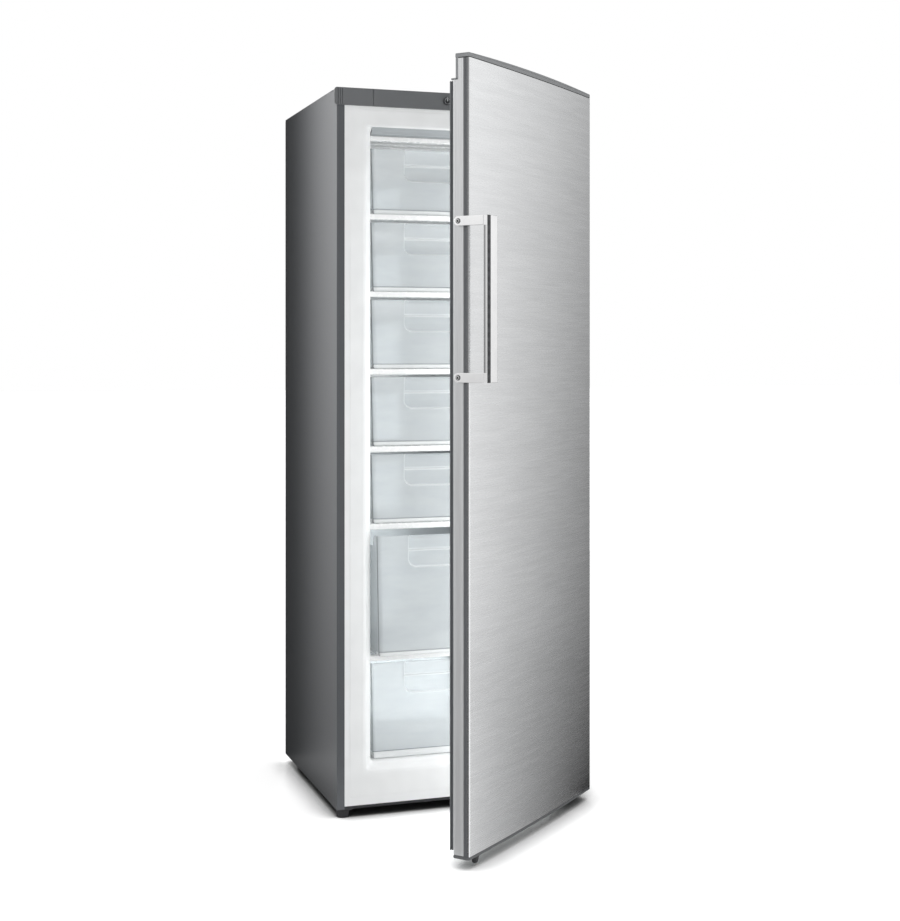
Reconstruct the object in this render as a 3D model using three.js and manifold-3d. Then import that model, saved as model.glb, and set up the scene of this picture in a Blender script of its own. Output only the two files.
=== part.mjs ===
// Upright freezer: a painted steel cabinet with seven clear drawers behind one steel-faced door.
//
// Millimetres, +Z up. Everything is laid out in the cabinet's own frame: X = 0 is the cabinet's left side,
// Y = 0 its front plane, Z = 0 the floor, and the door's side of the cabinet faces -Y. The whole model is
// moved at the end, so that its origin is the middle of its footprint at floor level.

import * as THREE from 'three';
import { mergeVertices } from 'three/addons/utils/BufferGeometryUtils.js';
import Module from 'manifold-3d';

const wasm = await Module();
wasm.setup();

// ---------------------------------------------------------------- driving dimensions

const FIT = 0.3; // clearance between neighbouring pieces

// cabinet shell
const WIDTH = 600;
const DEPTH = 530;
const SHEET = 1; // side panel steel
const FRONT_RETURN = 18; // folded front edge of a side panel
const REAR_RETURN = 12;
const FOOT_HEIGHT = 20; // floor to the underside of the base
const BASE_HEIGHT = 6;
const BASE_WALL = 1.5;
const TOP_PANEL = 4;
const BACK_SHEET = 1.2;

// front frame and cavity
const FRAME_SHEET = 1.5;
const MOUTH_SIDE = 54; // width of the frame beside the mouth
const LIP = 30; // the mouth's sloped lip, seen from the front
const LIP_DEPTH = 20;
const LIP_BELOW = 18;
const LIP_ABOVE = 9;
const MOUTH_RADIUS = 16;
const CAVITY_RADIUS = 10;
const SILL = 100; // base underside to the cavity floor
const FRAME_ABOVE = 47; // frame above the mouth
const LINER_WALL = 2;
const REAR_INSULATION = 57;
const NICHE_DEPTH = 160; // compressor niche, from the back
const NICHE_HEIGHT = 224; // above the base
const NICHE_INSULATION = 55;

// bays, from the cavity floor up
const BAY_BOTTOM = 228;
const BAY_TALL = 289;
const BAY_STANDARD = 165.5;
const STANDARD_BAYS = 4;
const TALL_BAY = 1; // its place from the bottom, counted from 0
const BAY_TOP = 168;
const SHELF_HEIGHT = 13;
const TOP_SHELF_HEIGHT = 11;
const CEILING_STRIP = 13;

// evaporator shelves
const SHELF_BAR = 18; // front bar, front to back
const SHELF_RAIL = 6;
const SHELF_TUBE = 8; // tube diameter
const SHELF_TUBES = 7;

// drawers
const DRAWER_SIDE_GAP = 4;
const DRAWER_SETBACK = 5; // front behind the inner edge of the lip
const DRAWER_REAR_GAP = 8;
const DRAWER_LIFT = 0.4; // running clearance on the shelf
const DRAWER_WALL = 2.5;
const DRAWER_DRAFT = 6;
const DRAWER_RAKE = 4; // the front leans back by this much at its foot
const DRAWER_CORNER = 12;
const SHORT_DRAWER_CORNER = 8; // the lowest drawer is shorter, with tighter corners
const DRAWER_SIDE_DROP = 25; // side and rear walls stop this far below the front
const DRAWER_FRONT_ZONE = 30;
const STANDARD_DRAWER_GAP = 6; // drawer front to the shelf above
const TALL_DRAWER_GAP = 12;
const TALL_DRAWER_INSET = 5; // the tall drawer is narrower on each side
const TALL_DRAWER_PULL = 33; // it stands open by this much
const TOP_DRAWER_GAP = 17;
const GRIP_WIDTH = 256;
const GRIP_HEIGHT = 66;
const GRIP_DROP = 9;
const GRIP_DEPTH = 20;
const GRIP_WALL = 2;
const GRIP_RADIUS = 14;

// top trim and thermostat
const TRIM_HEIGHT = 40;
const TRIM_LAP = 5; // how far the trim covers the frame
const TRIM_PROUD = 4;
const TRIM_OVERHANG = 6;
const TRIM_DEPTH = 40;
const DIAL_X = 262;
const DIAL_RADIUS = 9;
const DIAL_PROUD = 5;
const DIAL_SHAFT = 5;
const DIAL_BORE = 5.4;
const THERMOSTAT_WIDTH = 39;
const THERMOSTAT_HEIGHT = 22;
const THERMOSTAT_SETBACK = 3;

// door
const DOOR_ANGLE = 42; // degrees open, as it stands
const GASKET_THICKNESS = 9.9;
const GASKET_WIDTH = 16;
const GASKET_FREE_INSET = 2;
const GASKET_HINGE_INSET = 10;
const GASKET_END_GAP = 10; // frame edge to the gasket's ends
const DOOR_EDGE = 48; // front of the door at its side edges, from the cabinet's front plane
const DOOR_BULGE = 6.3;
const DOOR_SKIN = 0.8;
const DOOR_BEND = 4;
const DOOR_RETURN = 5;
const SIDE_TRIM = 2;
const SIDE_STRIP = 9;
const INNER_PANEL = 2;
const DIKE_INSET = 60;
const DIKE_WIDTH = 15;
const DIKE_HEIGHT = 8;
const BASE_CLEARANCE = 2; // door underside above the cabinet's underside
const BOTTOM_CAP = 7.5;
const TOP_CAP = 14.5;
const TOP_GAP = 0.5; // cabinet top above the door's steel
const NOTCH_FRONT = 15.5; // rear skin of the top cap, from the cabinet's front plane
const NOTCH_SKIN = 6;
const LEDGE_FRONT = 5;
const LEDGE_HEIGHT = 3.5;
const LEDGE_DROP = 0.5; // ledge top below the trim
const CORNER_STOP = [39, 26, 8];
const CORNER_STOP_INSET = 5;
const CORNER_STOP_FRONT = 20;

// hinges
const HINGE_INSET = 12; // hinge axis from the door's edge
const HINGE_FORWARD = 28; // hinge axis in front of the cabinet
const HINGE_PLATE = 3;
const PIN_RADIUS = 4;
const PIN_LENGTH = 17;
const BUSH_BORE = 4.25;
const BUSH_RADIUS = 6.2;
const BUSH_FLANGE = 9;
const HINGE_NOSE = 12;
const HINGE_NECK = 9;
const HINGE_SEAT = 36; // width of the plate on the cabinet
const HINGE_SEAT_START = 8;
const HINGE_SEAT_END = 60;
const HINGE_POCKET = 16;
const HINGE_COVER_WALL = 2;
const HINGE_COVER_HEIGHT = 13;
const HINGE_COVER_MARGIN = 4;

// handle
const HANDLE_LENGTH = 340;
const HANDLE_BOTTOM = 996;
const HANDLE_WIDTH = 43;
const HANDLE_FRONT = 95; // front of the bar, from the cabinet's front plane
const HANDLE_THICKNESS = 11;
const ARM_THICKNESS = 6;
const ARM_HEIGHT = 20;
const ARM_REAR = 15;
const INLAY_WIDTH = 9.5;
const INLAY_DEPTH = 2;
const INLAY_EDGE = 1;
const SCREW_REAR = 25;
const SCREW_HEAD = 4.75;
const SCREW_HEAD_HEIGHT = 2;
const SCREW_SHANK = 2.5;

// feet
const FOOT_RADIUS = 14;
const FOOT_RIBS = 24;
const FOOT_RIB_DEPTH = 1;
const FOOT_INSET = 18;
const STUD_RADIUS = 4;
const STUD_CLEARANCE = 0.4;
const REAR_FOOT_RADIUS = 16;
const REAR_FOOT_INSET = 40;

// compressor and what belongs to it
const COMPRESSOR_RADIUS = 72;
const COMPRESSOR_HEIGHT = 150;
const COMPRESSOR_RIGHT = 180; // from the cabinet's right side to its axis
const COMPRESSOR_BACK = 75;
const COMPRESSOR_SEAT = 150;
const COMPRESSOR_PLATE = 4;
const GROMMET_HEIGHT = 12;
const GROMMET_RADIUS = 10;
const COMPRESSOR_BASE_SHEET = 2;
const TERMINAL_BOX = [36, 50, 70];
const TERMINAL_LIFT = 58;
const TRAY = [130, 120, 26];
const TRAY_WALL = 2.5;
const TUBE_RADIUS = 3.5;
const TUBE_SPREAD = 20; // degrees either side of the compressor's right
const DISCHARGE_LIFT = 118;
const SUCTION_LIFT = 68;
const TUBE_RUN = 34;
const DRIER_RADIUS = 9;
const DRIER_LENGTH = 90;
const DRIER_X = 230;
const DRIER_LIFT = 100;

// smoothness
const ARC_STEPS = 4; // per quarter of a small corner
const ROUND_STEPS = 24; // around a pin, a bush or a dial
const FRONT_STEPS = 20; // across the door's face
const TUBE_STEPS = 8; // around a thin tube
const SCREW_STEPS = 16; // around a screw

// ---------------------------------------------------------------- derived levels and planes

const BASE_TOP = FOOT_HEIGHT + BASE_HEIGHT;
const CAVITY_FLOOR = FOOT_HEIGHT + SILL;

// Bay floors from the bottom up; each bay above the first stands on a shelf.
const BAY_HEIGHTS = [BAY_BOTTOM, BAY_TALL, ...Array(STANDARD_BAYS).fill(BAY_STANDARD), BAY_TOP];
const BAY_FLOORS = BAY_HEIGHTS.map((_, bay) => {
  const below = BAY_HEIGHTS.slice(0, bay).reduce((sum, height) => sum + height, 0);
  return CAVITY_FLOOR + below + bay * SHELF_HEIGHT;
});
const TOP_SHELF_FLOOR = BAY_FLOORS.at(-1) + BAY_TOP;
const STRIP_FLOOR = TOP_SHELF_FLOOR + TOP_SHELF_HEIGHT;
const CAVITY_CEILING = STRIP_FLOOR + CEILING_STRIP;

const MOUTH_BOTTOM = CAVITY_FLOOR - LIP_BELOW;
const MOUTH_TOP = CAVITY_CEILING + LIP_ABOVE;
const FRAME_TOP = MOUTH_TOP + FRAME_ABOVE;
const TRIM_BOTTOM = FRAME_TOP - TRIM_LAP;
const CABINET_TOP = TRIM_BOTTOM + TRIM_HEIGHT;
const PANEL_TOP = CABINET_TOP - TOP_PANEL;

const CAVITY_LEFT = MOUTH_SIDE + LIP;
const CAVITY_RIGHT = WIDTH - CAVITY_LEFT;
const REAR_FOLD = SHEET + FIT; // the rear fold of a side panel and the gap before it
const CAVITY_BACK = DEPTH - REAR_FOLD - REAR_INSULATION;
const NICHE_FRONT = DEPTH - NICHE_DEPTH;
const NICHE_TOP = BASE_TOP + NICHE_HEIGHT;
const STEP_BACK = NICHE_FRONT - NICHE_INSULATION; // back of the cavity's lower part
const STEP_TOP = NICHE_TOP + NICHE_INSULATION; // floor of its upper part
const BACK_PANEL_FRONT = DEPTH - REAR_FOLD - FIT - BACK_SHEET;

const DOOR_BACK = GASKET_THICKNESS + 2 * FIT;
const DOOR_BOTTOM = FOOT_HEIGHT + BASE_CLEARANCE;
const STEEL_BOTTOM = DOOR_BOTTOM + BOTTOM_CAP;
const STEEL_TOP = CABINET_TOP - TOP_GAP;
const DOOR_TOP = STEEL_TOP + TOP_CAP;
const LEDGE_TOP = TRIM_BOTTOM - LEDGE_DROP;
const LEDGE_BOTTOM = LEDGE_TOP - LEDGE_HEIGHT;
const HINGE = new THREE.Vector2(WIDTH - HINGE_INSET, -HINGE_FORWARD);
const BRACKET_BOTTOM = FOOT_HEIGHT - HINGE_PLATE;

// ---------------------------------------------------------------- geometry helpers

// A closed geometry as a solid that can be joined and cut.
function solidOf(geometry) {
  const bare = geometry.clone();
  bare.deleteAttribute('normal');
  bare.deleteAttribute('uv');
  const welded = mergeVertices(bare, 1e-4);
  const mesh = new wasm.Mesh({
    numProp: 3,
    vertProperties: new Float32Array(welded.attributes.position.array),
    triVerts: new Uint32Array(welded.index.array),
  });
  return new wasm.Manifold(mesh);
}

// The geometry of a joined or cut solid.
function geometryOf(solid) {
  const mesh = solid.getMesh();
  const geometry = new THREE.BufferGeometry();
  geometry.setAttribute('position', new THREE.BufferAttribute(new Float32Array(mesh.vertProperties), 3));
  geometry.setIndex(new THREE.BufferAttribute(new Uint32Array(mesh.triVerts), 1));
  geometry.computeVertexNormals();
  return geometry;
}

// The first geometry with the next ones added and the last ones taken away.
function combine(base, added = [], removed = []) {
  let solid = solidOf(base);
  for (const geometry of added) solid = solid.add(solidOf(geometry));
  for (const geometry of removed) solid = solid.subtract(solidOf(geometry));
  return geometryOf(solid);
}

// What two geometries share.
function shared(first, second) {
  return geometryOf(solidOf(first).intersect(solidOf(second)));
}

// A block between two limits on each axis.
function block(x, y, z) {
  const geometry = new THREE.BoxGeometry(1, 1, 1);
  const position = geometry.attributes.position;
  const pick = (limits, value) => limits[value > 0 ? 1 : 0];
  for (let k = 0; k < position.count; k += 1) {
    position.setXYZ(k, pick(x, position.getX(k)), pick(y, position.getY(k)), pick(z, position.getZ(k)));
  }
  return geometry;
}

// How an outline's own (u, v) and its place along the extrusion become x, y and z, for each axis. Along y
// the ends change places, so that the faces still point outwards.
const TURNS = {
  x: (u, v, end, limits) => [limits[end], u, v],
  y: (u, v, end, limits) => [u, limits[1 - end], v],
  z: (u, v, end, limits) => [u, v, limits[end]],
};

// An outline carried straight along x, y or z between two limits.
function prism(shape, axis, limits) {
  const options = { depth: 1, bevelEnabled: false, curveSegments: ARC_STEPS };
  const geometry = new THREE.ExtrudeGeometry(shape, options);
  const position = geometry.attributes.position;
  for (let k = 0; k < position.count; k += 1) {
    const end = position.getZ(k) > 0.5 ? 1 : 0;
    position.setXYZ(k, ...TURNS[axis](position.getX(k), position.getY(k), end, limits));
  }
  return geometry;
}

// The corners of a rectangle whose corners are rounded, counter-clockwise.
function roundedCorners(a, b, radius) {
  const corners = [[a[1], b[0], -90], [a[1], b[1], 0], [a[0], b[1], 90], [a[0], b[0], 180]];
  return corners.flatMap(([u, v, start]) => {
    const centre = [u - Math.sign(u - a[0] || -1) * radius, v - Math.sign(v - b[0] || -1) * radius];
    return Array.from({ length: ARC_STEPS + 1 }, (_, step) => {
      const angle = THREE.MathUtils.degToRad(start + (90 * step) / ARC_STEPS);
      const reach = [centre[0] + radius * Math.cos(angle), centre[1] + radius * Math.sin(angle)];
      return new THREE.Vector2(...reach);
    });
  });
}

// The corners of a plain rectangle, counter-clockwise.
function rectangle(a, b) {
  return [[a[0], b[0]], [a[1], b[0]], [a[1], b[1]], [a[0], b[1]]];
}

function polygon(points) {
  return new THREE.Shape(points.map((point) => (point.isVector2 ? point : new THREE.Vector2(...point))));
}

// A round bar between two heights on a vertical axis.
function post(x, y, z, radius, steps = ROUND_STEPS) {
  const geometry = new THREE.CylinderGeometry(radius, radius, z[1] - z[0], steps);
  return geometry.rotateX(Math.PI / 2).translate(x, y, (z[0] + z[1]) / 2);
}

// A closed skin over a row of rings that all have as many points, with a flat face on each end.
function loft(rings) {
  const count = rings[0].length;
  const positions = rings.flat().flatMap((point) => [point.x, point.y, point.z]);
  const index = [];
  for (let ring = 0; ring + 1 < rings.length; ring += 1) {
    for (let k = 0; k < count; k += 1) {
      const a = ring * count + k;
      const b = ring * count + ((k + 1) % count);
      index.push(a, b, b + count, a, b + count, a + count);
    }
  }
  const last = (rings.length - 1) * count;
  for (let k = 1; k + 1 < count; k += 1) {
    index.push(0, k + 1, k, last, last + k, last + k + 1);
  }
  const geometry = new THREE.BufferGeometry();
  geometry.setAttribute('position', new THREE.Float32BufferAttribute(positions, 3));
  geometry.setIndex(index);
  return geometry;
}

// ---------------------------------------------------------------- scene

const freezer = new THREE.Group();
const cabinet = new THREE.Group();
freezer.add(cabinet);

const door = new THREE.Group();
door.position.set(HINGE.x, HINGE.y, 0);
door.rotation.z = THREE.MathUtils.degToRad(DOOR_ANGLE);
freezer.add(door);

// Door pieces are drawn as if the door were shut, then hung on its hinge axis.
const shutDoor = new THREE.Group();
shutDoor.position.set(-HINGE.x, -HINGE.y, 0);
door.add(shutDoor);

function finish(color, roughness, metalness = 0, opacity = 1) {
  return new THREE.MeshStandardMaterial({ color, roughness, metalness, opacity, transparent: opacity < 1 });
}

function place(name, geometry, material, parent = cabinet, position = [0, 0, 0]) {
  const mesh = new THREE.Mesh(geometry, material);
  mesh.name = name;
  mesh.position.set(...position);
  parent.add(mesh);
  return mesh;
}

const paintedGrey = () => finish(0x7d7f82, 0.45, 0.3);
const plainSteel = () => finish(0x9a9c9e, 0.4, 0.8);
const whitePlastic = () => finish(0xf2f3f3, 0.35);
const blackPlastic = () => finish(0x1d1e20, 0.6);
const greyPlastic = () => finish(0x77797b, 0.5);
const chrome = () => finish(0xd8d9da, 0.15, 1);
const copper = () => finish(0xb87350, 0.35, 0.9);

// ---------------------------------------------------------------- cabinet shell

// A side panel is one sheet, folded in along the front and the back.
function sidePanel() {
  const outline = polygon([
    [0, 0],
    [FRONT_RETURN, 0],
    [FRONT_RETURN, SHEET],
    [SHEET, SHEET],
    [SHEET, DEPTH - SHEET],
    [REAR_RETURN, DEPTH - SHEET],
    [REAR_RETURN, DEPTH],
    [0, DEPTH],
  ]);
  return prism(outline, 'z', [FOOT_HEIGHT, PANEL_TOP]);
}

place('side_panel_left', sidePanel(), paintedGrey());
const sidePanelRight = place('side_panel_right', sidePanel().rotateZ(Math.PI), paintedGrey());
sidePanelRight.position.set(WIDTH, DEPTH, 0);

const INSIDE_X = [SHEET + FIT, WIDTH - SHEET - FIT];

const topPanel = block([0, WIDTH], [TRIM_DEPTH + FIT, DEPTH], [PANEL_TOP, CABINET_TOP]);
place('top_panel', topPanel, paintedGrey());

const BACK_PANEL_Y = [BACK_PANEL_FRONT, BACK_PANEL_FRONT + BACK_SHEET];
place('back_panel', block(INSIDE_X, BACK_PANEL_Y, [NICHE_TOP + FIT, PANEL_TOP - FIT]), plainSteel());

// ---------------------------------------------------------------- liner and insulation

// A ring around the cavity's mouth or walls at one depth, grown outwards by `grow`.
function cavityRing(x, z, radius, y, grow) {
  const corners = roundedCorners([x[0] - grow, x[1] + grow], [z[0] - grow, z[1] + grow], radius + grow);
  return corners.map((corner) => new THREE.Vector3(corner.x, y, corner.y)).reverse();
}

// The space inside the liner, grown outwards by `grow` and started at the depth `front`.
function cavity(grow, front) {
  const mouthX = [MOUTH_SIDE, WIDTH - MOUTH_SIDE];
  const mouthZ = [MOUTH_BOTTOM, MOUTH_TOP];
  const insideX = [CAVITY_LEFT, CAVITY_RIGHT];
  const insideZ = [CAVITY_FLOOR, CAVITY_CEILING];
  const upperZ = [STEP_TOP, CAVITY_CEILING];
  const lower = loft([
    cavityRing(mouthX, mouthZ, MOUTH_RADIUS, front, grow),
    cavityRing(mouthX, mouthZ, MOUTH_RADIUS, 0, grow),
    cavityRing(insideX, insideZ, CAVITY_RADIUS, LIP_DEPTH, grow),
    cavityRing(insideX, insideZ, CAVITY_RADIUS, STEP_BACK + grow, grow),
  ]);
  const upper = loft([
    cavityRing(insideX, upperZ, CAVITY_RADIUS, LIP_DEPTH + CAVITY_RADIUS, grow),
    cavityRing(insideX, upperZ, CAVITY_RADIUS, CAVITY_BACK + grow, grow),
  ]);
  return combine(lower, [upper]);
}

const FRAME_X = [FRONT_RETURN, WIDTH - FRONT_RETURN];
const FRAME_Z = [BASE_TOP + FIT, FRAME_TOP];
const BEFORE_FRONT = -10; // a plane well in front of the frame
const frontFrame = block(FRAME_X, [0, FRAME_SHEET], FRAME_Z);
const linerShell = combine(cavity(LINER_WALL, FIT), [frontFrame], [cavity(0, BEFORE_FRONT)]);
place('inner_liner', linerShell, whitePlastic());

// The foam starts behind the frame and keeps clear of the liner, the niche and the trim. Its base, which
// holds the step over the niche, ends just above that step.
const FOAM_Y = [FRAME_SHEET + FIT, BACK_PANEL_FRONT - FIT];
const FOAM_SPLIT = STEP_TOP + CAVITY_RADIUS;
const niche = block([0, WIDTH], [NICHE_FRONT, DEPTH], [0, NICHE_TOP]);
const trimSeat = block([0, WIDTH], [0, TRIM_DEPTH + FIT], [FRAME_TOP, CABINET_TOP]);
const foamHollow = cavity(LINER_WALL + FIT, BEFORE_FRONT);
const foamBase = block(INSIDE_X, FOAM_Y, [BASE_TOP + FIT, FOAM_SPLIT]);
const foamBody = block(INSIDE_X, FOAM_Y, [FOAM_SPLIT + FIT, PANEL_TOP - FIT]);
const foamFinish = () => finish(0xe6d9a8, 0.9);
place('insulation_foam', combine(foamBody, [], [foamHollow, trimSeat]), foamFinish());
place('insulation_foam_base', combine(foamBase, [], [foamHollow, niche]), foamFinish());

// ---------------------------------------------------------------- base and feet

const FOOT_SPOTS = { left: FOOT_INSET, right: WIDTH - FOOT_INSET };

// Holes for the two levelling studs.
function studHoles(z, spots = Object.values(FOOT_SPOTS)) {
  return spots.map((x) => post(x, FOOT_INSET, z, STUD_RADIUS + STUD_CLEARANCE));
}

const PAN_Y = [SHEET + FIT, NICHE_FRONT - FIT];
const panInside = block(
  [INSIDE_X[0] + BASE_WALL, INSIDE_X[1] - BASE_WALL],
  [PAN_Y[0] + BASE_WALL, PAN_Y[1] - BASE_WALL],
  [FOOT_HEIGHT + BASE_WALL, BASE_TOP + FIT],
);
const panOutside = block(INSIDE_X, PAN_Y, [FOOT_HEIGHT, BASE_TOP]);
place('base_pan', combine(panOutside, [], [panInside, ...studHoles([0, BASE_TOP])]), blackPlastic());

// A levelling foot: a ribbed disc on a stud, turned by hand.
function levellingFoot() {
  const ribs = Array.from({ length: FOOT_RIBS * 2 }, (_, k) => {
    const radius = FOOT_RADIUS - (k % 2) * FOOT_RIB_DEPTH;
    const angle = (Math.PI * k) / FOOT_RIBS;
    return [radius * Math.cos(angle), radius * Math.sin(angle)];
  });
  const disc = prism(polygon(ribs), 'z', [0, BRACKET_BOTTOM - FIT]);
  return combine(disc, [post(0, 0, [BRACKET_BOTTOM / 2, BASE_TOP - FIT], STUD_RADIUS)]);
}

for (const [side, x] of Object.entries(FOOT_SPOTS)) {
  place(`front_foot_${side}`, levellingFoot(), blackPlastic(), cabinet, [x, FOOT_INSET, 0]);
}

const REAR_FEET = { left: REAR_FOOT_INSET, right: WIDTH - REAR_FOOT_INSET };
for (const [side, x] of Object.entries(REAR_FEET)) {
  const foot = post(0, 0, [0, FOOT_HEIGHT], REAR_FOOT_RADIUS);
  place(`rear_foot_${side}`, foot, blackPlastic(), cabinet, [x, DEPTH - REAR_FOOT_INSET, 0]);
}

// ---------------------------------------------------------------- hinge plates

// A plate seen from above: a round nose about the hinge axis, a neck, and a wide seat on the cabinet.
function hingeOutline() {
  const nose = Array.from({ length: ROUND_STEPS / 2 + 1 }, (_, step) => {
    const angle = Math.PI + (Math.PI * step) / (ROUND_STEPS / 2);
    return [HINGE.x + HINGE_NOSE * Math.cos(angle), HINGE.y + HINGE_NOSE * Math.sin(angle)];
  });
  const seatRight = HINGE.x + HINGE_NECK;
  const seatLeft = seatRight - HINGE_SEAT;
  return polygon([
    ...nose,
    [seatRight, HINGE.y + HINGE_NOSE],
    [seatRight, HINGE_SEAT_END],
    [seatLeft, HINGE_SEAT_END],
    [seatLeft, HINGE_SEAT_START],
    [HINGE.x - HINGE_NECK, HINGE_SEAT_START],
    [HINGE.x - HINGE_NECK, HINGE.y + HINGE_NOSE],
  ]);
}

const topPlate = prism(hingeOutline(), 'z', [CABINET_TOP, CABINET_TOP + HINGE_PLATE]);
const topPin = post(HINGE.x, HINGE.y, [STEEL_TOP - PIN_LENGTH, CABINET_TOP + HINGE_PLATE / 2], PIN_RADIUS);
place('top_hinge_bracket', combine(topPlate, [topPin]), plainSteel());

const bottomPlate = prism(hingeOutline(), 'z', [BRACKET_BOTTOM, FOOT_HEIGHT]);
const bottomPinZ = [BRACKET_BOTTOM + HINGE_PLATE / 2, DOOR_BOTTOM + PIN_LENGTH - FIT];
const bottomPin = post(HINGE.x, HINGE.y, bottomPinZ, PIN_RADIUS);
const rightStudHole = studHoles([0, BASE_TOP], [FOOT_SPOTS.right]);
place('bottom_hinge_bracket', combine(bottomPlate, [bottomPin], rightStudHole), blackPlastic());

// The left foot has a plate of the same thickness, so that the cabinet stands level.
const FOOT_PLATE_Y = [SHEET + FIT, HINGE_SEAT_END];
const leftPlate = block([SHEET + FIT, HINGE_SEAT], FOOT_PLATE_Y, [BRACKET_BOTTOM, FOOT_HEIGHT]);
const leftStudHole = studHoles([0, BASE_TOP], [FOOT_SPOTS.left]);
place('left_foot_plate', combine(leftPlate, [], leftStudHole), blackPlastic());

// A moulded cover stands over the upper plate, open in front for the plate's neck.
const COVER_X = [HINGE.x + HINGE_NECK - HINGE_SEAT - HINGE_COVER_MARGIN, WIDTH];
const COVER_Y = [HINGE_SEAT_START - HINGE_COVER_MARGIN, HINGE_SEAT_END + HINGE_COVER_MARGIN];
const COVER_TOP = CABINET_TOP + HINGE_COVER_HEIGHT;
const coverHollow = block(
  [COVER_X[0] + HINGE_COVER_WALL, COVER_X[1] - HINGE_COVER_WALL],
  [COVER_Y[0] + HINGE_COVER_WALL, COVER_Y[1] - HINGE_COVER_WALL],
  [PANEL_TOP, COVER_TOP - HINGE_COVER_WALL],
);
const neckSlot = block(
  [HINGE.x - HINGE_NECK - FIT, HINGE.x + HINGE_NECK + FIT],
  [0, COVER_Y[0] + 2 * HINGE_COVER_WALL],
  [PANEL_TOP, CABINET_TOP + HINGE_PLATE + FIT],
);
const coverBlock = block(COVER_X, COVER_Y, [CABINET_TOP, COVER_TOP]);
place('top_hinge_cover', combine(coverBlock, [], [coverHollow, neckSlot]), greyPlastic());

// ---------------------------------------------------------------- top trim and thermostat

const DIAL_Z = CABINET_TOP - TRIM_HEIGHT / 2;
const dialBore = new THREE.CylinderGeometry(DIAL_BORE, DIAL_BORE, TRIM_DEPTH, ROUND_STEPS);
dialBore.translate(DIAL_X, 0, DIAL_Z);

const trimFrontX = [-TRIM_OVERHANG, WIDTH + TRIM_OVERHANG];
const trimEdge = roundedCorners(trimFrontX, [TRIM_BOTTOM, CABINET_TOP], TRIM_OVERHANG);
const trimFront = prism(polygon(trimEdge), 'y', [-TRIM_PROUD, 0]);
const trimBody = block(INSIDE_X, [SHEET + FIT, TRIM_DEPTH], [FRAME_TOP + FIT, CABINET_TOP]);
const trimLink = block(
  [FRONT_RETURN + FIT, WIDTH - FRONT_RETURN - FIT],
  [-TRIM_PROUD / 2, SHEET + 2 * FIT],
  [FRAME_TOP + FIT, CABINET_TOP],
);
const trimLid = block([0, WIDTH], [-TRIM_PROUD / 2, TRIM_DEPTH], [PANEL_TOP + FIT, CABINET_TOP]);
const thermostatX = [DIAL_X - THERMOSTAT_WIDTH / 2, DIAL_X + THERMOSTAT_WIDTH / 2];
const thermostatZ = [DIAL_Z - THERMOSTAT_HEIGHT / 2, DIAL_Z + THERMOSTAT_HEIGHT / 2];
const thermostatPocket = block(
  [thermostatX[0] - FIT, thermostatX[1] + FIT],
  [THERMOSTAT_SETBACK, TRIM_DEPTH + FIT],
  [FRAME_TOP, thermostatZ[1] + FIT],
);
const trim = combine(trimFront, [trimBody, trimLink, trimLid], [thermostatPocket, dialBore]);
place('top_trim', trim, greyPlastic());

const thermostatY = [THERMOSTAT_SETBACK + FIT, TRIM_DEPTH - FIT];
place('thermostat_body', block(thermostatX, thermostatY, thermostatZ), blackPlastic());

// The dial is drawn on its own axis, which runs straight out of the trim.
const dialProfile = [
  [0, TRIM_PROUD + DIAL_PROUD],
  [DIAL_RADIUS - 1, TRIM_PROUD + DIAL_PROUD],
  [DIAL_RADIUS, TRIM_PROUD + DIAL_PROUD - 1],
  [DIAL_RADIUS, TRIM_PROUD + FIT],
  [DIAL_SHAFT, TRIM_PROUD + FIT],
  [DIAL_SHAFT, -THERMOSTAT_SETBACK],
  [0, -THERMOSTAT_SETBACK],
].map(([radius, height]) => new THREE.Vector2(radius, height)).reverse();
const dial = new THREE.LatheGeometry(dialProfile, ROUND_STEPS);
const dialMesh = place('thermostat_dial', dial, greyPlastic(), cabinet, [DIAL_X, 0, DIAL_Z]);
dialMesh.rotation.x = Math.PI;

// ---------------------------------------------------------------- shelves

const SHELF_X = [CAVITY_LEFT + FIT, CAVITY_RIGHT - FIT];
const SHELF_Y = [LIP_DEPTH + FIT, CAVITY_BACK - FIT];

// An evaporator shelf: a front bar and a frame of rails behind it, with cooling tubes across the frame.
function evaporatorShelf(height) {
  const bar = block(SHELF_X, [SHELF_Y[0], SHELF_Y[0] + SHELF_BAR], [0, height]);
  const railTop = height - FIT;
  const railX = [SHELF_X[0] + FIT, SHELF_X[1] - FIT];
  const frameY = [SHELF_Y[0] + SHELF_BAR / 2, SHELF_Y[1]];
  const gapX = [railX[0] + SHELF_RAIL, railX[1] - SHELF_RAIL];
  const gapY = [SHELF_Y[0] + SHELF_BAR * 0.75, SHELF_Y[1] - SHELF_RAIL];
  const rails = polygon(rectangle(railX, frameY));
  rails.holes.push(polygon(rectangle(gapX, gapY).reverse()));
  const frame = prism(rails, 'z', [railTop - SHELF_TUBE - 2 * FIT, railTop]);
  const pitch = (SHELF_Y[1] - SHELF_Y[0] - SHELF_BAR) / (SHELF_TUBES + 1);
  const length = gapX[1] - gapX[0] + SHELF_RAIL;
  const tubes = Array.from({ length: SHELF_TUBES }, (_, k) => {
    const tube = new THREE.CylinderGeometry(SHELF_TUBE / 2, SHELF_TUBE / 2, length, TUBE_STEPS);
    tube.rotateZ(Math.PI / 2);
    const y = SHELF_Y[0] + SHELF_BAR + (k + 1) * pitch;
    return tube.translate(WIDTH / 2, y, railTop - SHELF_TUBE / 2 - FIT);
  });
  return combine(bar, [frame, ...tubes]);
}

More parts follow.
